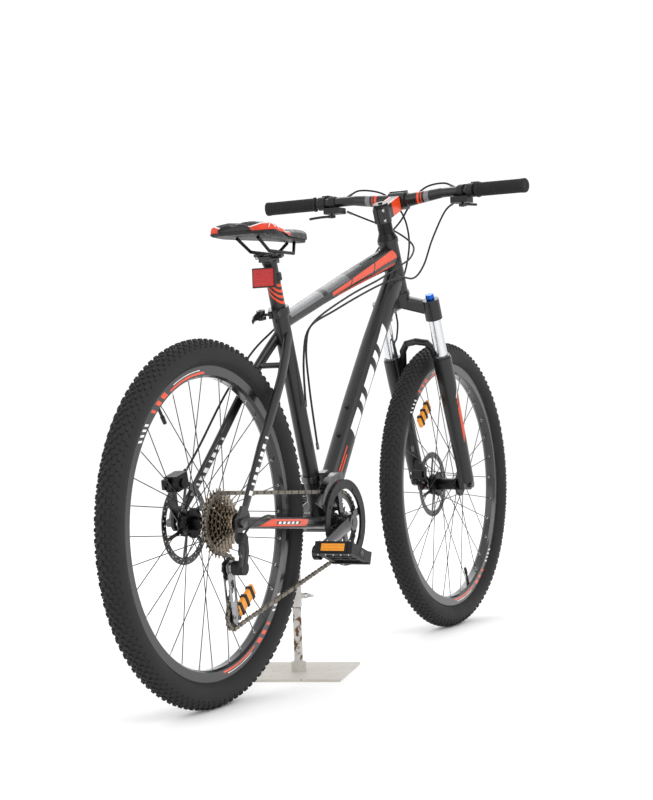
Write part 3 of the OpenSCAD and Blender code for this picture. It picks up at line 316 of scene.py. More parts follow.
FINISH = {
    black_paint: "head_tube seat_tube bb_shell lower_legs fork_crown seat_clamp seat_lever",
    black_gloss: "stem face_plate handlebar front_rim rear_rim crank_right crank_left",
    black_alloy: "rear_caliper front_caliper headset_stack front_hub rear_hub saddle_rails",
    dark_steel: "front_rotor rear_rotor chain_rings rear_axle front_axle front_derailleur",
    chain_steel: "chain",
    nickel: "cassette",
    silver: "brake_lever_right brake_lever_left wing_screw",
    cage_alloy: "derailleur_cage",
    spoke_steel: "front_spokes rear_spokes",
    chrome: "stanchions",
    black_plastic: "bar_controls chain_guard shift_lever_right shift_lever_left guide_pulley"
    " tension_pulley pedal_right pedal_left rear_derailleur saddle_shell rear_reflector",
    grip_rubber: "grips",
    tyre_rubber: "front_tyre rear_tyre",
    blue_alloy: "preload_knob",
    plate_paint: "base_plate",
    post_paint: "inner_post",
    sleeve_paint: "stand_sleeve",
}


def paint_node(node, material):
    data = frame["nodes"][node].data
    data.materials.clear()
    data.materials.append(material)


for material, nodes in FINISH.items():
    for node in nodes.split():
        paint_node(node, material)

# ---------------------------------------------------------------- frame paint
SEAT_TOP = on_seat(0.443)
TOP_TUBE_END = on_steer(0.613)
DOWN_TUBE_END = on_steer(0.562)
SEAT_STAY_TOP = on_seat(0.420)


class Tube:
    """Axes of a tube's side panel: along the tube, and up from its middle line."""

    def __init__(self, graph, start, end):
        self.graph = graph
        along = (end - start).normalized()
        above = Vector((-along.z, 0, along.x))
        if above.z < 0:
            above = -above
        self.t = graph.dot(along, start)
        self.h = graph.dot(above, start)

    def slash(self, t0, t1, h0, h1, slant=0.0):
        """Parallelogram from t0 to t1 and h0 to h1, leaning slant along the tube per unit of height."""
        g = self.graph
        lean = g.math("SUBTRACT", self.t, g.math("MULTIPLY", self.h, slant))
        return g.both(g.between(lean, t0, t1), g.between(self.h, h0, h1))

    def wedge(self, t0, t1, rise0, rise1, base=0.0):
        """Area above base under a line that climbs from rise0 at t0 to rise1 at t1."""
        g = self.graph
        line = g.spread(self.t, t0, t1, rise0, rise1)
        under = g.math("LESS_THAN", self.h, line)
        over = g.math("GREATER_THAN", self.h, base)
        return g.both(g.between(self.t, t0, t1), under, over)


def panelled(name, layers):
    """Black paint with flat panels of other colours; layers(g) gives (mask, colour) pairs."""
    g = Graph(name)
    mottle = g.noise(35, 4)
    tone = g.mix(mottle, shade(BLACK, 0.85), shade(BLACK, 1.2))
    shine = g.spread(mottle, 0, 1, 0.33, 0.42)
    for mask, color in layers(g):
        tone = g.mix(mask, tone, g.mix(mottle, shade(color, 0.93), shade(color, 1.05)))
        shine = g.math("SUBTRACT", shine, g.math("MULTIPLY", mask, 0.06))
    g.bump(g.noise(900, 2), 0.05)
    return g.finish(tone, shine, coat=0.3)


def down_tube_layers(g):
    tube = Tube(g, BB, DOWN_TUBE_END)
    slant = 0.55
    bars = []
    for start, wide in ((0.215, 0.058), (0.292, 0.020), (0.330, 0.062), (0.412, 0.020), (0.450, 0.058)):
        bars.append(tube.slash(start, start + wide, -0.030, 0.024, slant))
    gap = tube.slash(0.2, 0.54, 0.000, 0.0045)
    white = g.both(g.either(*bars), g.math("SUBTRACT", 1.0, gap))
    stripes = g.either(tube.slash(0.075, 0.165, 0.013, 0.0155), tube.slash(0.085, 0.185, 0.0185, 0.0205))
    return ((white, WHITE), (stripes, ORANGE))


def top_tube_layers(g):
    tube = Tube(g, SEAT_TOP, TOP_TUBE_END)
    long = (TOP_TUBE_END - SEAT_TOP).length
    panel = tube.wedge(0.21, long, 0.006, 0.019, -0.002)
    blade = tube.wedge(0.19, long - 0.03, -0.004, -0.013, -0.019)
    notch = tube.slash(0.30, 0.306, -0.03, 0.05, 0.9)
    notch2 = tube.slash(0.42, 0.426, -0.03, 0.05, 0.9)
    cut = g.math("SUBTRACT", 1.0, g.either(notch, notch2))
    low_blade = tube.wedge(0.24, long - 0.02, -0.006, -0.012, -0.0165)
    top = g.math("GREATER_THAN", tube.h, g.spread(tube.t, 0.02, long, 0.006, 0.016))
    grey = g.both(top, g.between(tube.t, 0.02, 0.17))
    pale = g.both(top, g.between(tube.t, 0.19, 0.30))
    dark = g.both(blade, g.math("SUBTRACT", 1.0, low_blade))
    return ((g.both(panel, cut), ORANGE), (dark, BLACK), (g.both(low_blade, cut), ORANGE),
            (grey, GREY), (pale, shade(GREY, 0.6)))


def chain_stay_layers(g):
    tube = Tube(g, BB, REAR_AXLE)
    right = g.math("LESS_THAN", g.dot((0, 1, 0)), 0.0)
    panel = tube.slash(0.165, 0.345, -0.0065, 0.0075, -0.9)
    point = tube.wedge(0.335, 0.385, 0.0075, -0.0065, -0.0065)
    core = tube.slash(0.205, 0.315, -0.003, 0.0035, -0.9)
    starts = [0.215 + 0.02 * k for k in range(5)]
    ticks = g.either(*[tube.slash(start, start + 0.011, -0.002, 0.0025, -0.9) for start in starts])
    return ((g.both(right, g.either(panel, point)), ORANGE), (g.both(right, core), BLACK),
            (g.both(right, ticks), WHITE))


def seat_stay_layers(g):
    tube = Tube(g, SEAT_STAY_TOP, REAR_AXLE)
    bars = []
    for k in range(8):
        start = 0.275 + 0.019 * k
        wide = 0.011 if k % 3 else 0.005
        bars.append(tube.slash(start, start + wide, -0.0045, 0.006, 0.5))
    return ((g.either(*bars), WHITE),)


LEG_FORWARD = 0.026


def fork_leg_layers(g):
    s = g.dot(STEER_AXIS, STEER_FOOT)
    f = g.dot(STEER_FORWARD, STEER_FOOT)
    edge = g.math("SUBTRACT", s, g.math("MULTIPLY", f, 2.2))
    outer = g.math("GREATER_THAN", g.math("ABSOLUTE", g.dot((0, 1, 0))), 0.078)
    stripe = g.between(f, LEG_FORWARD - 0.008, LEG_FORWARD + 0.007)
    panel = g.both(g.between(edge, 0.085, 0.175), stripe, outer)
    slash = g.both(g.between(edge, 0.185, 0.193), stripe, outer)
    white = g.both(g.between(edge, 0.20, 0.206), stripe, outer)
    return ((g.either(panel, slash), shade(ORANGE, 0.8)), (white, WHITE))


def seat_post_layers(g):
    t = g.dot(SEAT_AXIS, BB)
    y = g.dot((0, 1, 0))
    turn = g.math("SUBTRACT", t, g.math("MULTIPLY", y, 1.1))
    red = g.either(*[g.between(turn, 0.500 + 0.012 * k, 0.506 + 0.012 * k) for k in range(4)])
    white = g.between(turn, 0.552, 0.556)
    return ((red, shade(ORANGE, 0.9)), (white, WHITE))


def stem_layers(g):
    f = g.dot(STEER_FORWARD, STEER_FOOT)
    y = g.dot((0, 1, 0))
    side = g.math("GREATER_THAN", g.math("ABSOLUTE", y), 0.0085)
    return ((g.both(g.between(f, 0.032, 0.078), side), ORANGE),)


def handlebar_layers(g):
    y = g.math("ABSOLUTE", g.dot((0, 1, 0)))
    return ((g.either(g.between(y, 0.052, 0.058), g.between(y, 0.062, 0.064)), ORANGE),
            (g.between(y, 0.070, 0.082), GREY))


PANELLED = {
    "down_tube": down_tube_layers, "top_tube": top_tube_layers, "chain_stays": chain_stay_layers,
    "seat_stays": seat_stay_layers, "lower_legs": fork_leg_layers, "seat_post": seat_post_layers,
    "stem": stem_layers, "handlebar": handlebar_layers,
}
for node, layers in PANELLED.items():
    paint_node(node, panelled(node + "_paint", layers))


def shade_smooth(node, angle=40):
    """Smooths a CAD node's faceted surfaces without moving them."""
    data = frame["nodes"][node].data
    data.shade_smooth()
    data.set_sharp_from_angle(angle=math.radians(angle))


for node in frame["nodes"]:
    shade_smooth(node)

# ---------------------------------------------------------------- mesh helpers


def new_mesh(name, points, faces, material, body, smooth=True, materials=None, picks=None):
    data = bpy.data.meshes.new(name)
    data.from_pydata([tuple(p) for p in points], [], faces)
    for m in materials or [material]:
        data.materials.append(m)
    if picks:
        data.polygons.foreach_set("material_index", picks)
    data.polygons.foreach_set("use_smooth", [smooth] * len(data.polygons))
    data.validate()
    piece = bpy.data.objects.new(name, data)
    bpy.context.scene.collection.objects.link(piece)
    if body:
        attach(piece, body)
    return piece


def lathe(name, profile, turns, place, material, body, closed=True, smooth=True):
    """Turns a profile of (radius, along) round an axis; place(radius, along, angle) gives points."""
    points = [place(r, z, 2 * math.pi * k / turns) for k in range(turns) for r, z in profile]
    n = len(profile)
    edges = n if closed else n - 1
    faces = []
    for k in range(turns):
        a, b = k * n, (k + 1) % turns * n
        for i in range(edges):
            j = (i + 1) % n
            faces.append((a + i, a + j, b + j, b + i))
    return new_mesh(name, points, faces, material, body, smooth)


def wheel_place(centre):
    def place(radius, y, angle):
        return centre + Vector((radius * math.cos(angle), y, radius * math.sin(angle)))

    return place


# ---------------------------------------------------------------- tyres
TREAD = 3.0 * MM
CASING_R = 26.0 * MM
CASING_MID = WHEEL_R - TREAD - CASING_R
RIM_WALL = 13.0 * MM
RIM_TOP = 298 * MM


def casing_profile():
    outer = []
    for k in range(33):
        a = math.radians(-128 + 8 * k)
        r = CASING_R - (0.5 if abs(k - 16) > 8 and k % 2 else 0.2) * MM
        outer.append((CASING_MID + r * math.cos(a), r * math.sin(a)))
    bead = [(RIM_TOP + 2 * MM, 11.3 * MM), (RIM_TOP - 6 * MM, 10.9 * MM), (RIM_TOP - 6 * MM, 9.4 * MM)]
    inner = [(CASING_MID + 22.5 * MM * math.cos(a), 22.5 * MM * math.sin(a))
             for a in (math.radians(120 - 15 * k) for k in range(17))]
    return outer + bead + inner + [(r, -y) for r, y in reversed(bead)]


# Rows of tread blocks: angle round the section, half width and half length in mm, height, stagger
TREAD_ROWS = (
    (8, 3.3, 4.6, 2.9, 0.0), (-8, 3.3, 4.6, 2.9, 0.5),
    (26, 3.4, 3.8, 2.8, 0.55), (-26, 3.4, 3.8, 2.8, 0.05),
    (43, 3.0, 4.4, 2.5, 0.1), (-43, 3.0, 4.4, 2.5, 0.6),
    (60, 2.2, 2.6, 1.6, 0.55), (-60, 2.2, 2.6, 1.6, 0.05),
)
TREAD_PITCHES = 112


def tread_blocks(centre):
    points, faces = [], []
    for angle, half_w, half_l, tall, stagger in TREAD_ROWS:
        a = math.radians(angle)
        for k in range(TREAD_PITCHES):
            turn = 2 * math.pi * (k + stagger) / TREAD_PITCHES
            long = half_l * (0.8 if k % 2 else 1.0)
            first = len(points)
            for lift, part in ((-0.8, 1.0), (tall, 0.76)):
                radius = CASING_R + lift * MM
                for w, l in ((-1, -1), (1, -1), (1, 1), (-1, 1)):
                    b = a + w * part * half_w * MM / CASING_R
                    lean = 0.25 * w * (1 if angle > 0 else -1)
                    t = turn + (l + lean) * part * long * MM / WHEEL_R
                    r, y = CASING_MID + radius * math.cos(b), radius * math.sin(b)
                    points.append(centre + Vector((r * math.cos(t), y, r * math.sin(t))))
            quads = ((4, 5, 6, 7), (0, 1, 5, 4), (1, 2, 6, 5), (2, 3, 7, 6), (3, 0, 4, 7))
            faces += [tuple(first + i for i in quad) for quad in quads]
    return points, faces


def make_tyre(end, centre):
    body = f"{end}_wheel"
    casing = lathe(f"{end}_tyre_casing", casing_profile(), 160, wheel_place(centre), tyre_rubber, body)
    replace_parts(casing, f"{end}_tyre")
    points, faces = tread_blocks(centre)
    new_mesh(f"{end}_tyre_tread", points, faces, tyre_rubber, body, smooth=False)


def rim_patch(centre, side, a0, a1, low, high, skew=0.0):
    """Thin patch on a rim wall, from angle a0 to a1, slanted by skew degrees."""
    steps = max(2, round(abs(a1 - a0) / 1.5))
    points, faces = [], []
    y = side * (RIM_WALL + 0.12 * MM)
    for k in range(steps + 1):
        for r, shift in ((low, 0.0), (high, skew)):
            a = math.radians(a0 + (a1 - a0) * k / steps + shift)
            points.append(centre + Vector((r * math.cos(a), y, r * math.sin(a))))
    for k in range(steps):
        quad = (2 * k, 2 * k + 1, 2 * k + 3, 2 * k + 2)
        faces.append(quad if side > 0 else tuple(reversed(quad)))
    return points, faces


def join(parts):
    points, faces = [], []
    for p, f in parts:
        shift = len(points)
        points += p
        faces += [tuple(i + shift for i in face) for face in f]
    return points, faces


def make_rim_marks(end, centre, turn):
    """Plain stripes and slashes in place of lettering, two groups on each wall."""
    orange, white = [], []
    for side in (-1, 1):
        for group in range(2):
            a = turn + 180 * group
            orange.append(rim_patch(centre, side, a, a + 25, 283 * MM, 287 * MM))
            for k, wide in enumerate((3.0, 2.2, 1.4)):
                start = a + 27 + 5 * k
                orange.append(rim_patch(centre, side, start, start + wide, 283 * MM, 294 * MM, 1.6))
            white.append(rim_patch(centre, side, a + 3, a + 22, 289.5 * MM, 291 * MM))
            for k in range(4):
                start = a + 44 + 2.4 * k
                white.append(rim_patch(centre, side, start, start + 1, 284 * MM, 293 * MM, 1.4))
    for color, parts, material in (("orange", orange, orange_paint), ("white", white, white_paint)):
        points, faces = join(parts)
        new_mesh(f"{end}_rim_{color}_marks", points, faces, material, f"{end}_wheel", smooth=False)


def cylinder_parts(a, b, radius, turns=16, taper=None):
    """Closed cylinder or cone from a to b, as points and faces."""
    a, b = Vector(a), Vector(b)
    axis = (b - a).normalized()
    side = axis.orthogonal().normalized()
    up = axis.cross(side)
    points, faces = [], []
    for centre, r in ((a, radius), (b, radius if taper is None else taper)):
        for k in range(turns):
            t = 2 * math.pi * k / turns
            points.append(centre + side * (r * math.cos(t)) + up * (r * math.sin(t)))
    for k in range(turns):
        j = (k + 1) % turns
        faces.append((k, j, turns + j, turns + k))
    faces.append(tuple(reversed(range(turns))))
    faces.append(tuple(range(turns, 2 * turns)))
    return points, faces


def make_parts(name, parts, material, body, smooth=False, bevel=0.0):
    points, faces = join(parts)
    piece = new_mesh(name, points, faces, material, body, smooth)
    if bevel:
        soften(piece, bevel)
    return piece


def soften(piece, width, segments=2):
    modifier = piece.modifiers.new("bevel", "BEVEL")
    modifier.width, modifier.segments = width, segments
    modifier.limit_method = "ANGLE"
    modifier.angle_limit = math.radians(35)
    return piece


def box_parts(centre, half, x=(1, 0, 0), y=(0, 1, 0), z=(0, 0, 1)):
    """Box about centre with half sizes along three directions."""
    x, y, z = Vector(x), Vector(y), Vector(z)
    signs = [(i, j, k) for k in (-1, 1) for j in (-1, 1) for i in (-1, 1)]
    x, y, z = x * half[0], y * half[1], z * half[2]
    points = [Vector(centre) + x * i + y * j + z * k for i, j, k in signs]
    faces = [(0, 2, 3, 1), (4, 5, 7, 6), (0, 1, 5, 4), (2, 6, 7, 3), (0, 4, 6, 2), (1, 3, 7, 5)]
    return points, faces


SPOKES = 32
SPOKE_LEAN = 3 * 360 / (SPOKES / 2)


def spoke_ends(centre, flange_y):
    """Hub and rim ends of each spoke, as the CAD lays them."""
    hub_r, rim_r = 25 * MM, 278 * MM
    step = 360 / (SPOKES / 2)
    for side in (0, 1):
        for k in range(SPOKES // 2):
            lean = 1 if k % 2 == 0 else -1
            a = math.radians(k * step + side * step / 2)
            b = a + math.radians(lean * SPOKE_LEAN)
            y = flange_y[side] - lean * 2.4 * MM
            out = -2 * MM if flange_y[side] < 0 else 2 * MM
            yield (centre + Vector((hub_r * math.cos(a), y, hub_r * math.sin(a))),
                   centre + Vector((rim_r * math.cos(b), out, rim_r * math.sin(b))))


def make_nipples(end, centre, flange_y):
    parts = []
    for hub, rim in spoke_ends(centre, flange_y):
        along = (rim - hub).normalized()
        parts.append(cylinder_parts(rim - along * 13 * MM, rim - along * 1 * MM, 1.7 * MM, 6))
        parts.append(cylinder_parts(rim - along * 3 * MM, rim - along * 1 * MM, 2.6 * MM, 8))
    make_parts(f"{end}_nipples", parts, silver, f"{end}_wheel")


def make_wheel_reflector(end, centre, at_angle, radius, y, tilt):
    """Amber reflector clipped across two spokes."""
    a = math.radians(at_angle)
    place = centre + Vector((radius * math.cos(a), y, radius * math.sin(a)))
    t = math.radians(tilt)
    along = Vector((math.cos(t), 0, math.sin(t)))
    over = Vector((-math.sin(t), 0, math.cos(t)))
    side = Vector((0, 1, 0))
    plate = box_parts(place, (0.037, 0.0045, 0.0125), along, side, over)
    reflector = make_parts(f"{end}_wheel_reflector", [plate], amber_lens, f"{end}_wheel", bevel=0.003)
    clips = [box_parts(place + along * shift, (0.004, 0.0062, 0.0135), along, side, over)
             for shift in (-0.024, 0.0, 0.024)]
    make_parts(f"{end}_wheel_reflector_clips", clips, black_plastic, f"{end}_wheel", bevel=0.001)


def make_hub_ring(end, centre, y):
    """Red anodised lock ring beside the rotor."""
    profile = [(8 * MM, y), (15 * MM, y), (16 * MM, y + 0.8 * MM), (16 * MM, y + 2.6 * MM),
               (14 * MM, y + 3.4 * MM), (8 * MM, y + 3.4 * MM)]
    lathe(f"{end}_hub_ring", profile, 40, wheel_place(centre), red_alloy, f"{end}_wheel")


def make_valve(end, centre, at_angle):
    a = math.radians(at_angle)
    ray = Vector((math.cos(a), 0, math.sin(a)))
    stem = [cylinder_parts(centre + ray * 0.277, centre + ray * 0.243, 0.003, 12),
            cylinder_parts(centre + ray * 0.252, centre + ray * 0.236, 0.0042, 12, 0.0036)]
    make_parts(f"{end}_valve", stem, black_plastic, f"{end}_wheel", smooth=False)


def make_rotor_bolts(end, centre, rotor_y):
    parts = []
    for k in range(6):
        a = math.radians(60 * k)
        at = centre + Vector((20.5 * MM * math.cos(a), rotor_y, 20.5 * MM * math.sin(a)))
        parts.append(cylinder_parts(at, at + Vector((0, 3.4 * MM, 0)), 4.2 * MM, 12, 3.6 * MM))
    make_parts(f"{end}_rotor_bolts", parts, silver, f"{end}_wheel", bevel=0.0004)


def make_wheels():
    flanges = {"front": (0.024, -0.034), "rear": (0.032, -0.020)}
    rotor_y = {"front": 0.0396 + 0.0009, "rear": 0.0523 + 0.0009}
    for end, centre, turn in (("front", FRONT_AXLE, 88), ("rear", REAR_AXLE, 93)):
        make_tyre(end, centre)
        make_rim_marks(end, centre, turn)
        make_nipples(end, centre, flanges[end])
        make_rotor_bolts(end, centre, rotor_y[end])
        make_hub_ring(end, centre, rotor_y[end] + 0.001)
    make_wheel_reflector("rear", REAR_AXLE, -57, 0.19, -0.014, 33)
    make_wheel_reflector("front", FRONT_AXLE, 130, 0.232, -0.012, 40)
    make_valve("rear", REAR_AXLE, 125)
    make_valve("front", FRONT_AXLE, -67)


make_wheels()

# ---------------------------------------------------------------- cables
SMOOTH_STEPS = 6


def smooth_route(route):
    """Catmull-Rom curve through a route's points, given in millimetres."""
    points = [Vector(p) * MM for p in route]
    points = [2 * points[0] - points[1]] + points + [2 * points[-1] - points[-2]]
    curve = []
    for a, b, c, d in zip(points, points[1:], points[2:], points[3:]):
        for k in range(SMOOTH_STEPS):
            t = k / SMOOTH_STEPS
            curve.append(0.5 * (2 * b + (c - a) * t + (2 * a - 5 * b + 4 * c - d) * t * t
                                + (3 * b - a - 3 * c + d) * t ** 3))
    return curve + [points[-2]]


def tube_parts(path, radius, sides=10):
    """Closed tube along a path, with its rings carried on from one to the next without twist."""
    if not isinstance(radius, (list, tuple)):
        radius = [radius] * len(path)
    points, faces = [], []
    side = (path[1] - path[0]).orthogonal().normalized()
    last = len(path) - 1
    for i, at in enumerate(path):
        along = (path[min(i + 1, last)] - path[max(i - 1, 0)]).normalized()
        side = (side - along * side.dot(along)).normalized()
        up = along.cross(side)
        for k in range(sides):
            t = 2 * math.pi * k / sides
            points.append(at + side * (radius[i] * math.cos(t)) + up * (radius[i] * math.sin(t)))
    for i in range(last):
        for k in range(sides):
            a, b = i * sides, (i + 1) * sides
            j = (k + 1) % sides
            faces.append((a + k, a + j, b + j, b + k))
    faces.append(tuple(reversed(range(sides))))
    faces.append(tuple(range(last * sides, (last + 1) * sides)))
    return points, faces


# Routes of the control cables in millimetres, as part.scad lays them
REAR_BRAKE_ROUTE = (
    (349, -140, 1053), (356, -110, 1066), (366, -60, 1062), (376, -20, 1036), (368, 10, 988),
    (330, 34, 945), (270, 34, 905), (190, 26, 860), (60, 24, 815), (-90, 24, 772), (-190, 24, 742),
    (-246, 30, 714), (-300, 46, 672), (-380, 63, 590), (-470, 66, 500), (-530, 60, 456),
    (-552, 54, 450),
)
FRONT_BRAKE_ROUTE = (
    (349, 140, 1053), (362, 110, 1068), (390, 60, 1056), (412, 26, 1010), (420, 14, 950),
    (416, 20, 890), (402, 34, 830), (392, 43, 786), (400, 43, 746), (390, 42, 712), (378, 43, 678),
    (440, 44, 520), (462, 43, 436),
)
REAR_SHIFT_ROUTE = (
    (346, -141, 1019), (368, -104, 1000), (386, -62, 940), (372, -44, 880), (330, -36, 848),
    (250, -34, 846), (120, -30, 816), (-60, -28, 764), (-180, -28, 724), (-214, -30, 660),
    (-205, -26, 560),
)
FRONT_SHIFT_ROUTE = (
    (346, 141, 1019), (370, 104, 1000), (384, 40, 970), (364, -20, 930), (310, -40, 896),
    (250, -38, 872), (150, -34, 838), (0, -32, 796), (-160, -30, 738), (-200, -30, 690),
    (-190, -28, 600), (-160, -27, 470),
)
DERAILLEUR_ROUTE = (
    (-440, -76, 352), (-500, -90, 358), (-580, -98, 342), (-604, -92, 306), (-584, -82, 290),
)
CABLE_R = 2.3 * MM
FERRULE_R, FERRULE_L = 3.1 * MM, 0.014


def ferrule_parts(curve):
    """Metal end caps on both ends of a cable's housing."""
    caps = []
    for end, inner in ((curve[0], curve[2]), (curve[-1], curve[-3])):
        along = (inner - end).normalized()
        caps.append(cylinder_parts(end, end + along * FERRULE_L, FERRULE_R, 14))
    return caps


def make_cables():
    bends = {
        "rear_brake_cable": (REAR_BRAKE_ROUTE, "frame", "steering", (0.25, 0, 0.88), (0.35, 0, 1.03)),
        "rear_shift_cable": (REAR_SHIFT_ROUTE, "frame", "steering", (0.27, 0, 0.84), (0.37, 0, 1.0)),
        "front_shift_cable": (FRONT_SHIFT_ROUTE, "frame", "steering", (0.28, 0, 0.88), (0.37, 0, 1.0)),
        "front_brake_cable": (FRONT_BRAKE_ROUTE, "fork_lower", "steering", (0.46, 0.04, 0.47),
                              (0.39, 0.04, 0.80)),
    }
    for name, (route, low_body, high_body, start, end) in bends.items():
        curve = smooth_route(route)
        cable = make_parts(name, [tube_parts(curve, CABLE_R)], black_plastic, None, smooth=True)
        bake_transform(cable)
        if name == "rear_brake_cable":
            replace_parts(cable, "control_cables")
        caps = make_parts(name + "_ferrules", ferrule_parts(curve), dark_steel, None, smooth=False)
        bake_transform(caps)
    curve = smooth_route(DERAILLEUR_ROUTE)
    make_parts("derailleur_cable", [tube_parts(curve, CABLE_R)], black_plastic, "frame", smooth=True)
    make_parts("derailleur_cable_ferrules", ferrule_parts(curve), dark_steel, "frame")


make_cables()

# ---------------------------------------------------------------- chain


def make_chain():
    """The CAD chain in two pieces: the upper run rides with the frame, and the lower run near the derailleur
    cage is left on no body.
    """
    data = frame["nodes"]["chain"].data
    guide = joint_at("guide_pulley_spin")
    tension = joint_at("tension_pulley_spin")
    pieces = {"chain_upper": [], "chain_lower": []}
    for face in data.polygons:
        low = face.center.z < guide.z + 0.020 and face.center.x < BB.x - 0.02
        pieces["chain_lower" if low else "chain_upper"].append(face)
    made = {}
    for name, chosen in pieces.items():
        used = sorted({v for face in chosen for v in face.vertices})
        place = {v: i for i, v in enumerate(used)}
        points = [data.vertices[v].co.copy() for v in used]
        faces = [tuple(place[v] for v in face.vertices) for face in chosen]
        body = "frame" if name == "chain_upper" else None
        made[name] = new_mesh(name, points, faces, chain_steel, body, smooth=False)
    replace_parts(made["chain_upper"], "chain")
    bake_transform(made["chain_lower"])


make_chain()

# ---------------------------------------------------------------- saddle
# Half widths and rise of the saddle's top along its length, in millimetres, from the nose
SADDLE_STATIONS = ((0, 8, -4), (8, 16, 0), (40, 20, 0), (80, 24, -2), (120, 36, -6), (165, 56, -8),
                   (205, 70, -4), (245, 75, 2), (268, 66, 0), (276, 40, -6))
SADDLE_AROUND, SADDLE_ROWS = 48, 60
SKIRT = 0.019
PANEL_EDGE = 0.58


def saddle_section(along):
    """Half width and rise at a distance from the nose, eased between the stations."""
    for (x0, w0, r0), (x1, w1, r1) in zip(SADDLE_STATIONS, SADDLE_STATIONS[1:]):
        if along <= x1:
            t = (along - x0) / (x1 - x0)
            t = t * t * (3 - 2 * t) if x1 - x0 > 20 else t
            return (w0 + (w1 - w0) * t) * MM, (r0 + (r1 - r0) * t) * MM
    return SADDLE_STATIONS[-1][1] * MM, SADDLE_STATIONS[-1][2] * MM


def saddle_point(nose_x, top_z, along, turn):
    """Point of the cover at turn round a section, from -1 at the right hem over the top to 1 at the left."""
    half, rise = saddle_section(along)
    side = math.sin(turn * math.pi / 2)
    edge = abs(side)
    crown = -0.010 * edge ** 3.0
    groove = -0.0035 * math.exp(-(side * half / 0.009) ** 2) * min(1.0, max(0.0, (along - 70) / 60))
    tuck = max(0.0, (abs(turn) - 0.72) / 0.28)
    z = top_z + rise + crown + groove - SKIRT * tuck ** 1.3
    y = half * side * (1 - 0.10 * tuck * tuck)
    return Vector((nose_x - along * MM, y, z))


def make_saddle():
    low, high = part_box("saddle_pad")
    nose_x, top_z = high.x - 0.001, high.z - 0.0025
    length = (high.x - low.x) / MM - 2
    rows = SADDLE_ROWS
    bottom_z = low.z + 0.0005
    points, faces, picks = [], [], []
    for i in range(rows + 1):
        u = i / rows
        along = length * (0.5 - 0.5 * math.cos(math.pi * u)) * 0.999
        for k in range(SADDLE_AROUND + 1):
            turn = -1 + 2 * k / SADDLE_AROUND
            point = saddle_point(nose_x, top_z, along, turn)
            point.z = max(point.z, bottom_z)
            points.append(point)
    n = SADDLE_AROUND + 1
    for i in range(rows):
        for k in range(SADDLE_AROUND):
            a, b = i * n + k, (i + 1) * n + k
            faces.append((a, a + 1, b + 1, b))
            edge = abs(-1 + 2 * (k + 0.5) / SADDLE_AROUND)
            tail = i > rows * 0.42
            sweep = PANEL_EDGE + 0.16 * abs(i / rows - 0.72)
            picks.append(1 if tail and sweep < edge < 0.86 and i < rows * 0.97 else 0)
        faces.append((i * n, (i + 1) * n, (i + 2) * n - 1, (i + 1) * n - 1))
        picks.append(2)
    faces.append(tuple(range(n)))
    faces.append(tuple(reversed(range(rows * n, (rows + 1) * n))))
    picks += [0, 0]
    cover = new_mesh("saddle_cover", points, faces, None, "seatpost", True,
                     [saddle_leather, saddle_red, black_plastic], picks)
    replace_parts(cover, "saddle_pad")
    piping, seams = [], []
    for side in (-1, 1):
        line = []
        for i in range(26, 59):
            u = i / SADDLE_ROWS
            along = length * (0.5 - 0.5 * math.cos(math.pi * u))
            line.append(saddle_point(nose_x, top_z, along, side * (PANEL_EDGE + 0.16 * abs(u - 0.72))))
        piping.append(tube_parts(line, 1.3 * MM, 8))
        seam = [saddle_point(nose_x, top_z, length * (0.04 + 0.92 * i / 50), side * 0.24) for i in range(51)]
        seams.append(tube_parts([p + Vector((0, 0, 0.0001)) for p in seam], 0.6 * MM, 6))
        for k in range(4):
            a, b = 0.80 + 0.03 * k, 0.825 + 0.03 * k
            turns = (0.68, 0.82) if k % 2 else (0.82, 0.68)
            zig = [saddle_point(nose_x, top_z, length * (a + (b - a) * t / 3),
                                side * (turns[0] + (turns[1] - turns[0]) * t / 3)) for t in range(4)]
            piping.append(tube_parts(zig, 0.9 * MM, 6))
    make_parts("saddle_piping", piping, white_paint, "seatpost", smooth=True)
    make_parts("saddle_seams", seams, grip_rubber, "seatpost", smooth=True)


def leather(name, color, sheen):
    """Vinyl cover with fine pebbles and soft creases."""
    g = Graph(name)
    voronoi = g.tree.nodes.new("ShaderNodeTexVoronoi")
    voronoi.inputs["Scale"].default_value = 650.0
    g.feed(voronoi.inputs["Vector"], g.position)
    crease = g.noise(60, 5)
    g.bump(g.math("ADD", voronoi.outputs["Distance"], g.math("MULTIPLY", crease, 0.6)), 0.25)
    tone = g.mix(crease, shade(color, 0.85), shade(color, 1.2))
    g.shader.inputs["Sheen Weight"].default_value = sheen
    return g.finish(tone, g.spread(crease, 0, 1, 0.42, 0.58))


saddle_leather = leather("saddle_leather", (0.014, 0.014, 0.015), 0.1)
saddle_red = leather("saddle_red", (0.6, 0.04, 0.012), 0.05)
make_saddle()

# ---------------------------------------------------------------- grips
RIBS = 22


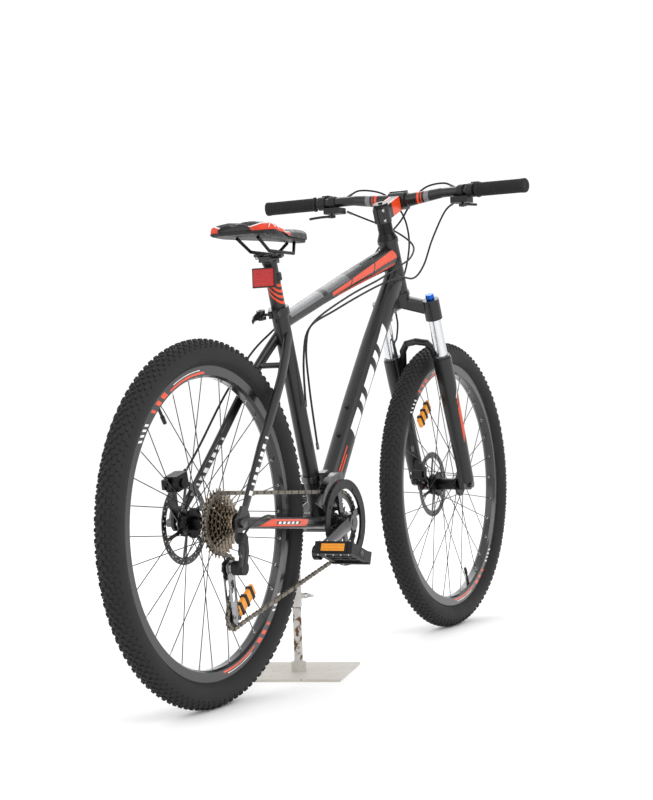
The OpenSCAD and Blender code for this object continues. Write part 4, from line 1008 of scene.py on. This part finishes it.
def make_grip(side, name):
    """Rubber grip with ribs between its collar and its end cap, on the bar's own axis."""
    spots = [v.co for v in frame["nodes"]["grips"].data.vertices if v.co.y * side > 0]
    near = min(p.y * side for p in spots)
    far = max(p.y * side for p in spots)

    def centre_at(reach):
        ring = [p for p in spots if abs(p.y * side - reach) < 0.009]
        low = Vector([min(p[i] for p in ring) for i in range(3)])
        high = Vector([max(p[i] for p in ring) for i in range(3)])
        return (low + high) / 2

    a, b = centre_at(near), centre_at(far)
    along = (b - a).normalized()
    a = a - along * ((a.y * side - near) / abs(along.y) - 0.002)
    b = b + along * ((far - b.y * side) / abs(along.y) - 0.003)
    length = (b - a).length
    across_bar = along.orthogonal().normalized()
    over = along.cross(across_bar)
    hole, base, rib = 11.15 * MM, 14.6 * MM, 15.9 * MM
    profile = [(hole, 0.0), (17.2 * MM, 0.0), (17.6 * MM, 1 * MM), (17.6 * MM, 4.5 * MM), (base, 6.5 * MM)]
    step = (length - 0.020) / RIBS
    for k in range(RIBS):
        z = 0.008 + k * step
        profile += [(base, z), (rib, z + 0.25 * step), (rib, z + 0.6 * step), (base, z + 0.85 * step)]
    profile += [(16.4 * MM, length - 0.010), (16.4 * MM, length - 0.002), (15 * MM, length),
                (0.3 * MM, length), (0.3 * MM, length - 0.0025), (hole, length - 0.0025)]

    def place(radius, z, angle):
        return a + along * z + across_bar * (radius * math.cos(angle)) + over * (radius * math.sin(angle))

    return lathe(name, profile, 48, place, grip_rubber, "steering")


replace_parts(make_grip(1, "grip_left"), "grips")
make_grip(-1, "grip_right")

# ---------------------------------------------------------------- pedals
PEDAL_TILT = math.radians(20)


def make_pedal_details(name, side):
    """Amber reflectors on the front and back faces, grip pins and an axle cap."""
    axle = joint_at(f"pedal_{name}_spin")
    low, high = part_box(f"pedal_{name}")
    forward = Vector((math.cos(PEDAL_TILT), 0, -math.sin(PEDAL_TILT)))
    above = Vector((math.sin(PEDAL_TILT), 0, math.cos(PEDAL_TILT)))
    out = Vector((0, side, 0))
    mid_y = (low.y + high.y) / 2
    centre = Vector((axle.x, mid_y, axle.z))
    body = f"pedal_{name}"
    frames, lenses, pins = [], [], []
    for end in (-1, 1):
        face = centre + forward * (end * 0.0442)
        frames.append(box_parts(face, (0.0022, 0.030, 0.0105), forward, out, above))
        lens_at = face + forward * (end * 0.0016)
        lenses.append(box_parts(lens_at, (0.0016, 0.026, 0.0075), forward, out, above))
        for k in range(-2, 3):
            for up in (-1, 1):
                at = centre + forward * (end * 0.040) + out * (0.017 * k) + above * (up * 0.0125)
                pins.append(cylinder_parts(at, at + above * (up * 0.003), 1.7 * MM, 10, 1.3 * MM))
    make_parts(f"{name}_pedal_reflector_frames", frames, black_plastic, body, bevel=0.0008)
    make_parts(f"{name}_pedal_reflectors", lenses, amber_lens, body, bevel=0.0008)
    make_parts(f"{name}_pedal_pins", pins, silver, body)
    cap = Vector((axle.x, low.y if side < 0 else high.y, axle.z))
    cap_parts = cylinder_parts(cap - out * 0.006, cap + out * 0.0015, 7.5 * MM, 20, 6.5 * MM)
    make_parts(f"{name}_pedal_cap", [cap_parts], dark_steel, body, bevel=0.0006)


make_pedal_details("right", -1)
make_pedal_details("left", 1)

# ---------------------------------------------------------------- rear reflector


def make_rear_reflector():
    """Red ribbed lens in a black housing under the saddle."""
    low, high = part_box("rear_reflector")
    face = Vector((low.x, 0, low.z + 0.020))
    lens_plate = box_parts(face + Vector((0.0002, 0, 0)), (0.0016, 0.0235, 0.0175))
    ridges = [box_parts(face + Vector((-0.0012, 0, -0.014 + 0.007 * k)), (0.0009, 0.0225, 0.0022))
              for k in range(5)]
    piece = make_parts("rear_reflector_lens", [lens_plate] + ridges, red_lens, "seatpost", bevel=0.0005)


make_rear_reflector()

# ---------------------------------------------------------------- bolts


def socket_bolt(at, out, radius, tall):
    """Cap screw head with a hexagonal socket, sitting on a face whose outward direction is out."""
    out = Vector(out).normalized()
    side = out.orthogonal().normalized()
    over = out.cross(side)
    points, faces = [], []
    turns = 24
    rings = ((radius, 0.0), (radius, tall * 0.85), (radius * 0.9, tall),
             (radius * 0.55, tall), (radius * 0.5, tall * 0.35))
    for level, (r, z) in enumerate(rings):
        for k in range(turns):
            t = 2 * math.pi * k / turns
            bend = 1.0
            if level > 2:
                bend = math.cos(math.pi / 6) / math.cos((t % (math.pi / 3)) - math.pi / 6)
            points.append(at + out * z + (side * math.cos(t) + over * math.sin(t)) * (r * bend))
    for level in range(len(rings) - 1):
        for k in range(turns):
            j = (k + 1) % turns
            a, b = level * turns, (level + 1) * turns
            faces.append((a + k, a + j, b + j, b + k))
    faces.append(tuple(reversed(range(turns))))
    faces.append(tuple(range(4 * turns, 5 * turns)))
    return points, faces


# Height of the stem's middle along the steering axis, and pitch of a bottle cage's bolts
STEM_MIDDLE = 0.716
BOTTLE_PITCH = 0.065


def make_bolts():
    groups = {}

    def add(name, body, material, *parts):
        groups.setdefault((name, body, material), []).extend(parts)

    plate_low, plate_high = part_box("face_plate")
    plate = (plate_low + plate_high) / 2
    reach = (plate - on_steer(STEM_MIDDLE)).dot(STEER_FORWARD)
    for y in (-0.014, 0.014):
        for s in (STEM_MIDDLE - 0.016, STEM_MIDDLE + 0.016):
            at = on_steer(s, reach + 0.012, y)
            add("face_plate_bolts", "steering", silver, socket_bolt(at, STEER_FORWARD, 4 * MM, 3.5 * MM))
    for s in (STEM_MIDDLE - 0.012, STEM_MIDDLE + 0.012):
        at = on_steer(s, -0.018, -0.011)
        add("stem_clamp_bolts", "steering", silver, socket_bolt(at, (0, -1, 0), 3.8 * MM, 3.5 * MM))
    down = (DOWN_TUBE_END - BB).normalized()
    above = Vector((-down.z, 0, down.x))
    for k in range(2):
        at = BB + down * (0.22 + BOTTLE_PITCH * k) + above * 0.0255
        add("bottle_bolts", "frame", silver, socket_bolt(at, above, 4.6 * MM, 3.4 * MM))
        at = on_seat(0.20 + BOTTLE_PITCH * k, 0.0172)
        add("bottle_bolts", "frame", silver, socket_bolt(at, SEAT_FORWARD, 3.6 * MM, 2.6 * MM))
    for name, joint in (("guide_pulley", "guide_pulley_spin"), ("tension_pulley", "tension_pulley_spin")):
        at = joint_at(joint)
        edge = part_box("derailleur_cage")[0].y
        add(name + "_bolt", "derailleur_cage", dark_steel,
            socket_bolt(Vector((at.x, edge + 0.0005, at.z)), (0, -1, 0), 4.6 * MM, 2.4 * MM))
    for end in ("front", "rear"):
        low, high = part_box(f"{end}_caliper")
        centre = (low + high) / 2
        body = "fork_lower" if end == "front" else "frame"
        at = Vector((centre.x, high.y - 0.0005, centre.z))
        knob = cylinder_parts(at, at + Vector((0, 0.004, 0)), 8 * MM, 28, 7 * MM)
        add(f"{end}_caliper_knob", body, red_alloy, knob)
        for dx in (-0.020, 0.020):
            spot = Vector((centre.x + dx, high.y - 0.0005, centre.z))
            add(f"{end}_caliper_bolts", body, silver, socket_bolt(spot, (0, 1, 0), 3.6 * MM, 2.6 * MM))
    for (name, body, material), parts in groups.items():
        make_parts(name, parts, material, body, smooth=False)


make_bolts()

# ---------------------------------------------------------------- floor and light


def make_stage():
    size = 40.0
    g = Graph("floor")
    g.finish(g.mix(g.noise(3, 2), (0.95, 0.95, 0.95), (0.97, 0.97, 0.97)), 0.85)
    corners = [(-size, -size), (size, -size), (size, size), (-size, size)]
    floor = new_mesh("floor", [(x, y, 0.0) for x, y in corners], [(0, 1, 2, 3)], g.material, None, False)
    world = bpy.data.worlds.new("studio")
    world.use_nodes = True
    background = world.node_tree.nodes["Background"]
    background.inputs[0].default_value = (1.0, 1.0, 1.0, 1.0)
    background.inputs[1].default_value = 1.06
    bpy.context.scene.world = world
    bpy.context.scene.view_settings.view_transform = "Standard"
    lights = (
        ("key", (-2.2, -3.4, 3.2), 3.0, 75.0),
        ("fill", (-3.5, 2.6, 2.4), 3.0, 25.0),
        ("rim", (3.0, 1.0, 3.4), 2.5, 40.0),
    )
    for name, at, width, power in lights:
        data = bpy.data.lights.new(name, "AREA")
        data.size, data.energy = width, power
        light = bpy.data.objects.new(name, data)
        bpy.context.scene.collection.objects.link(light)
        light.location = at
        aim = Vector((0, 0, 0.5)) - light.location
        light.rotation_mode = "QUATERNION"
        light.rotation_quaternion = aim.to_track_quat("-Z", "Y")


make_stage()
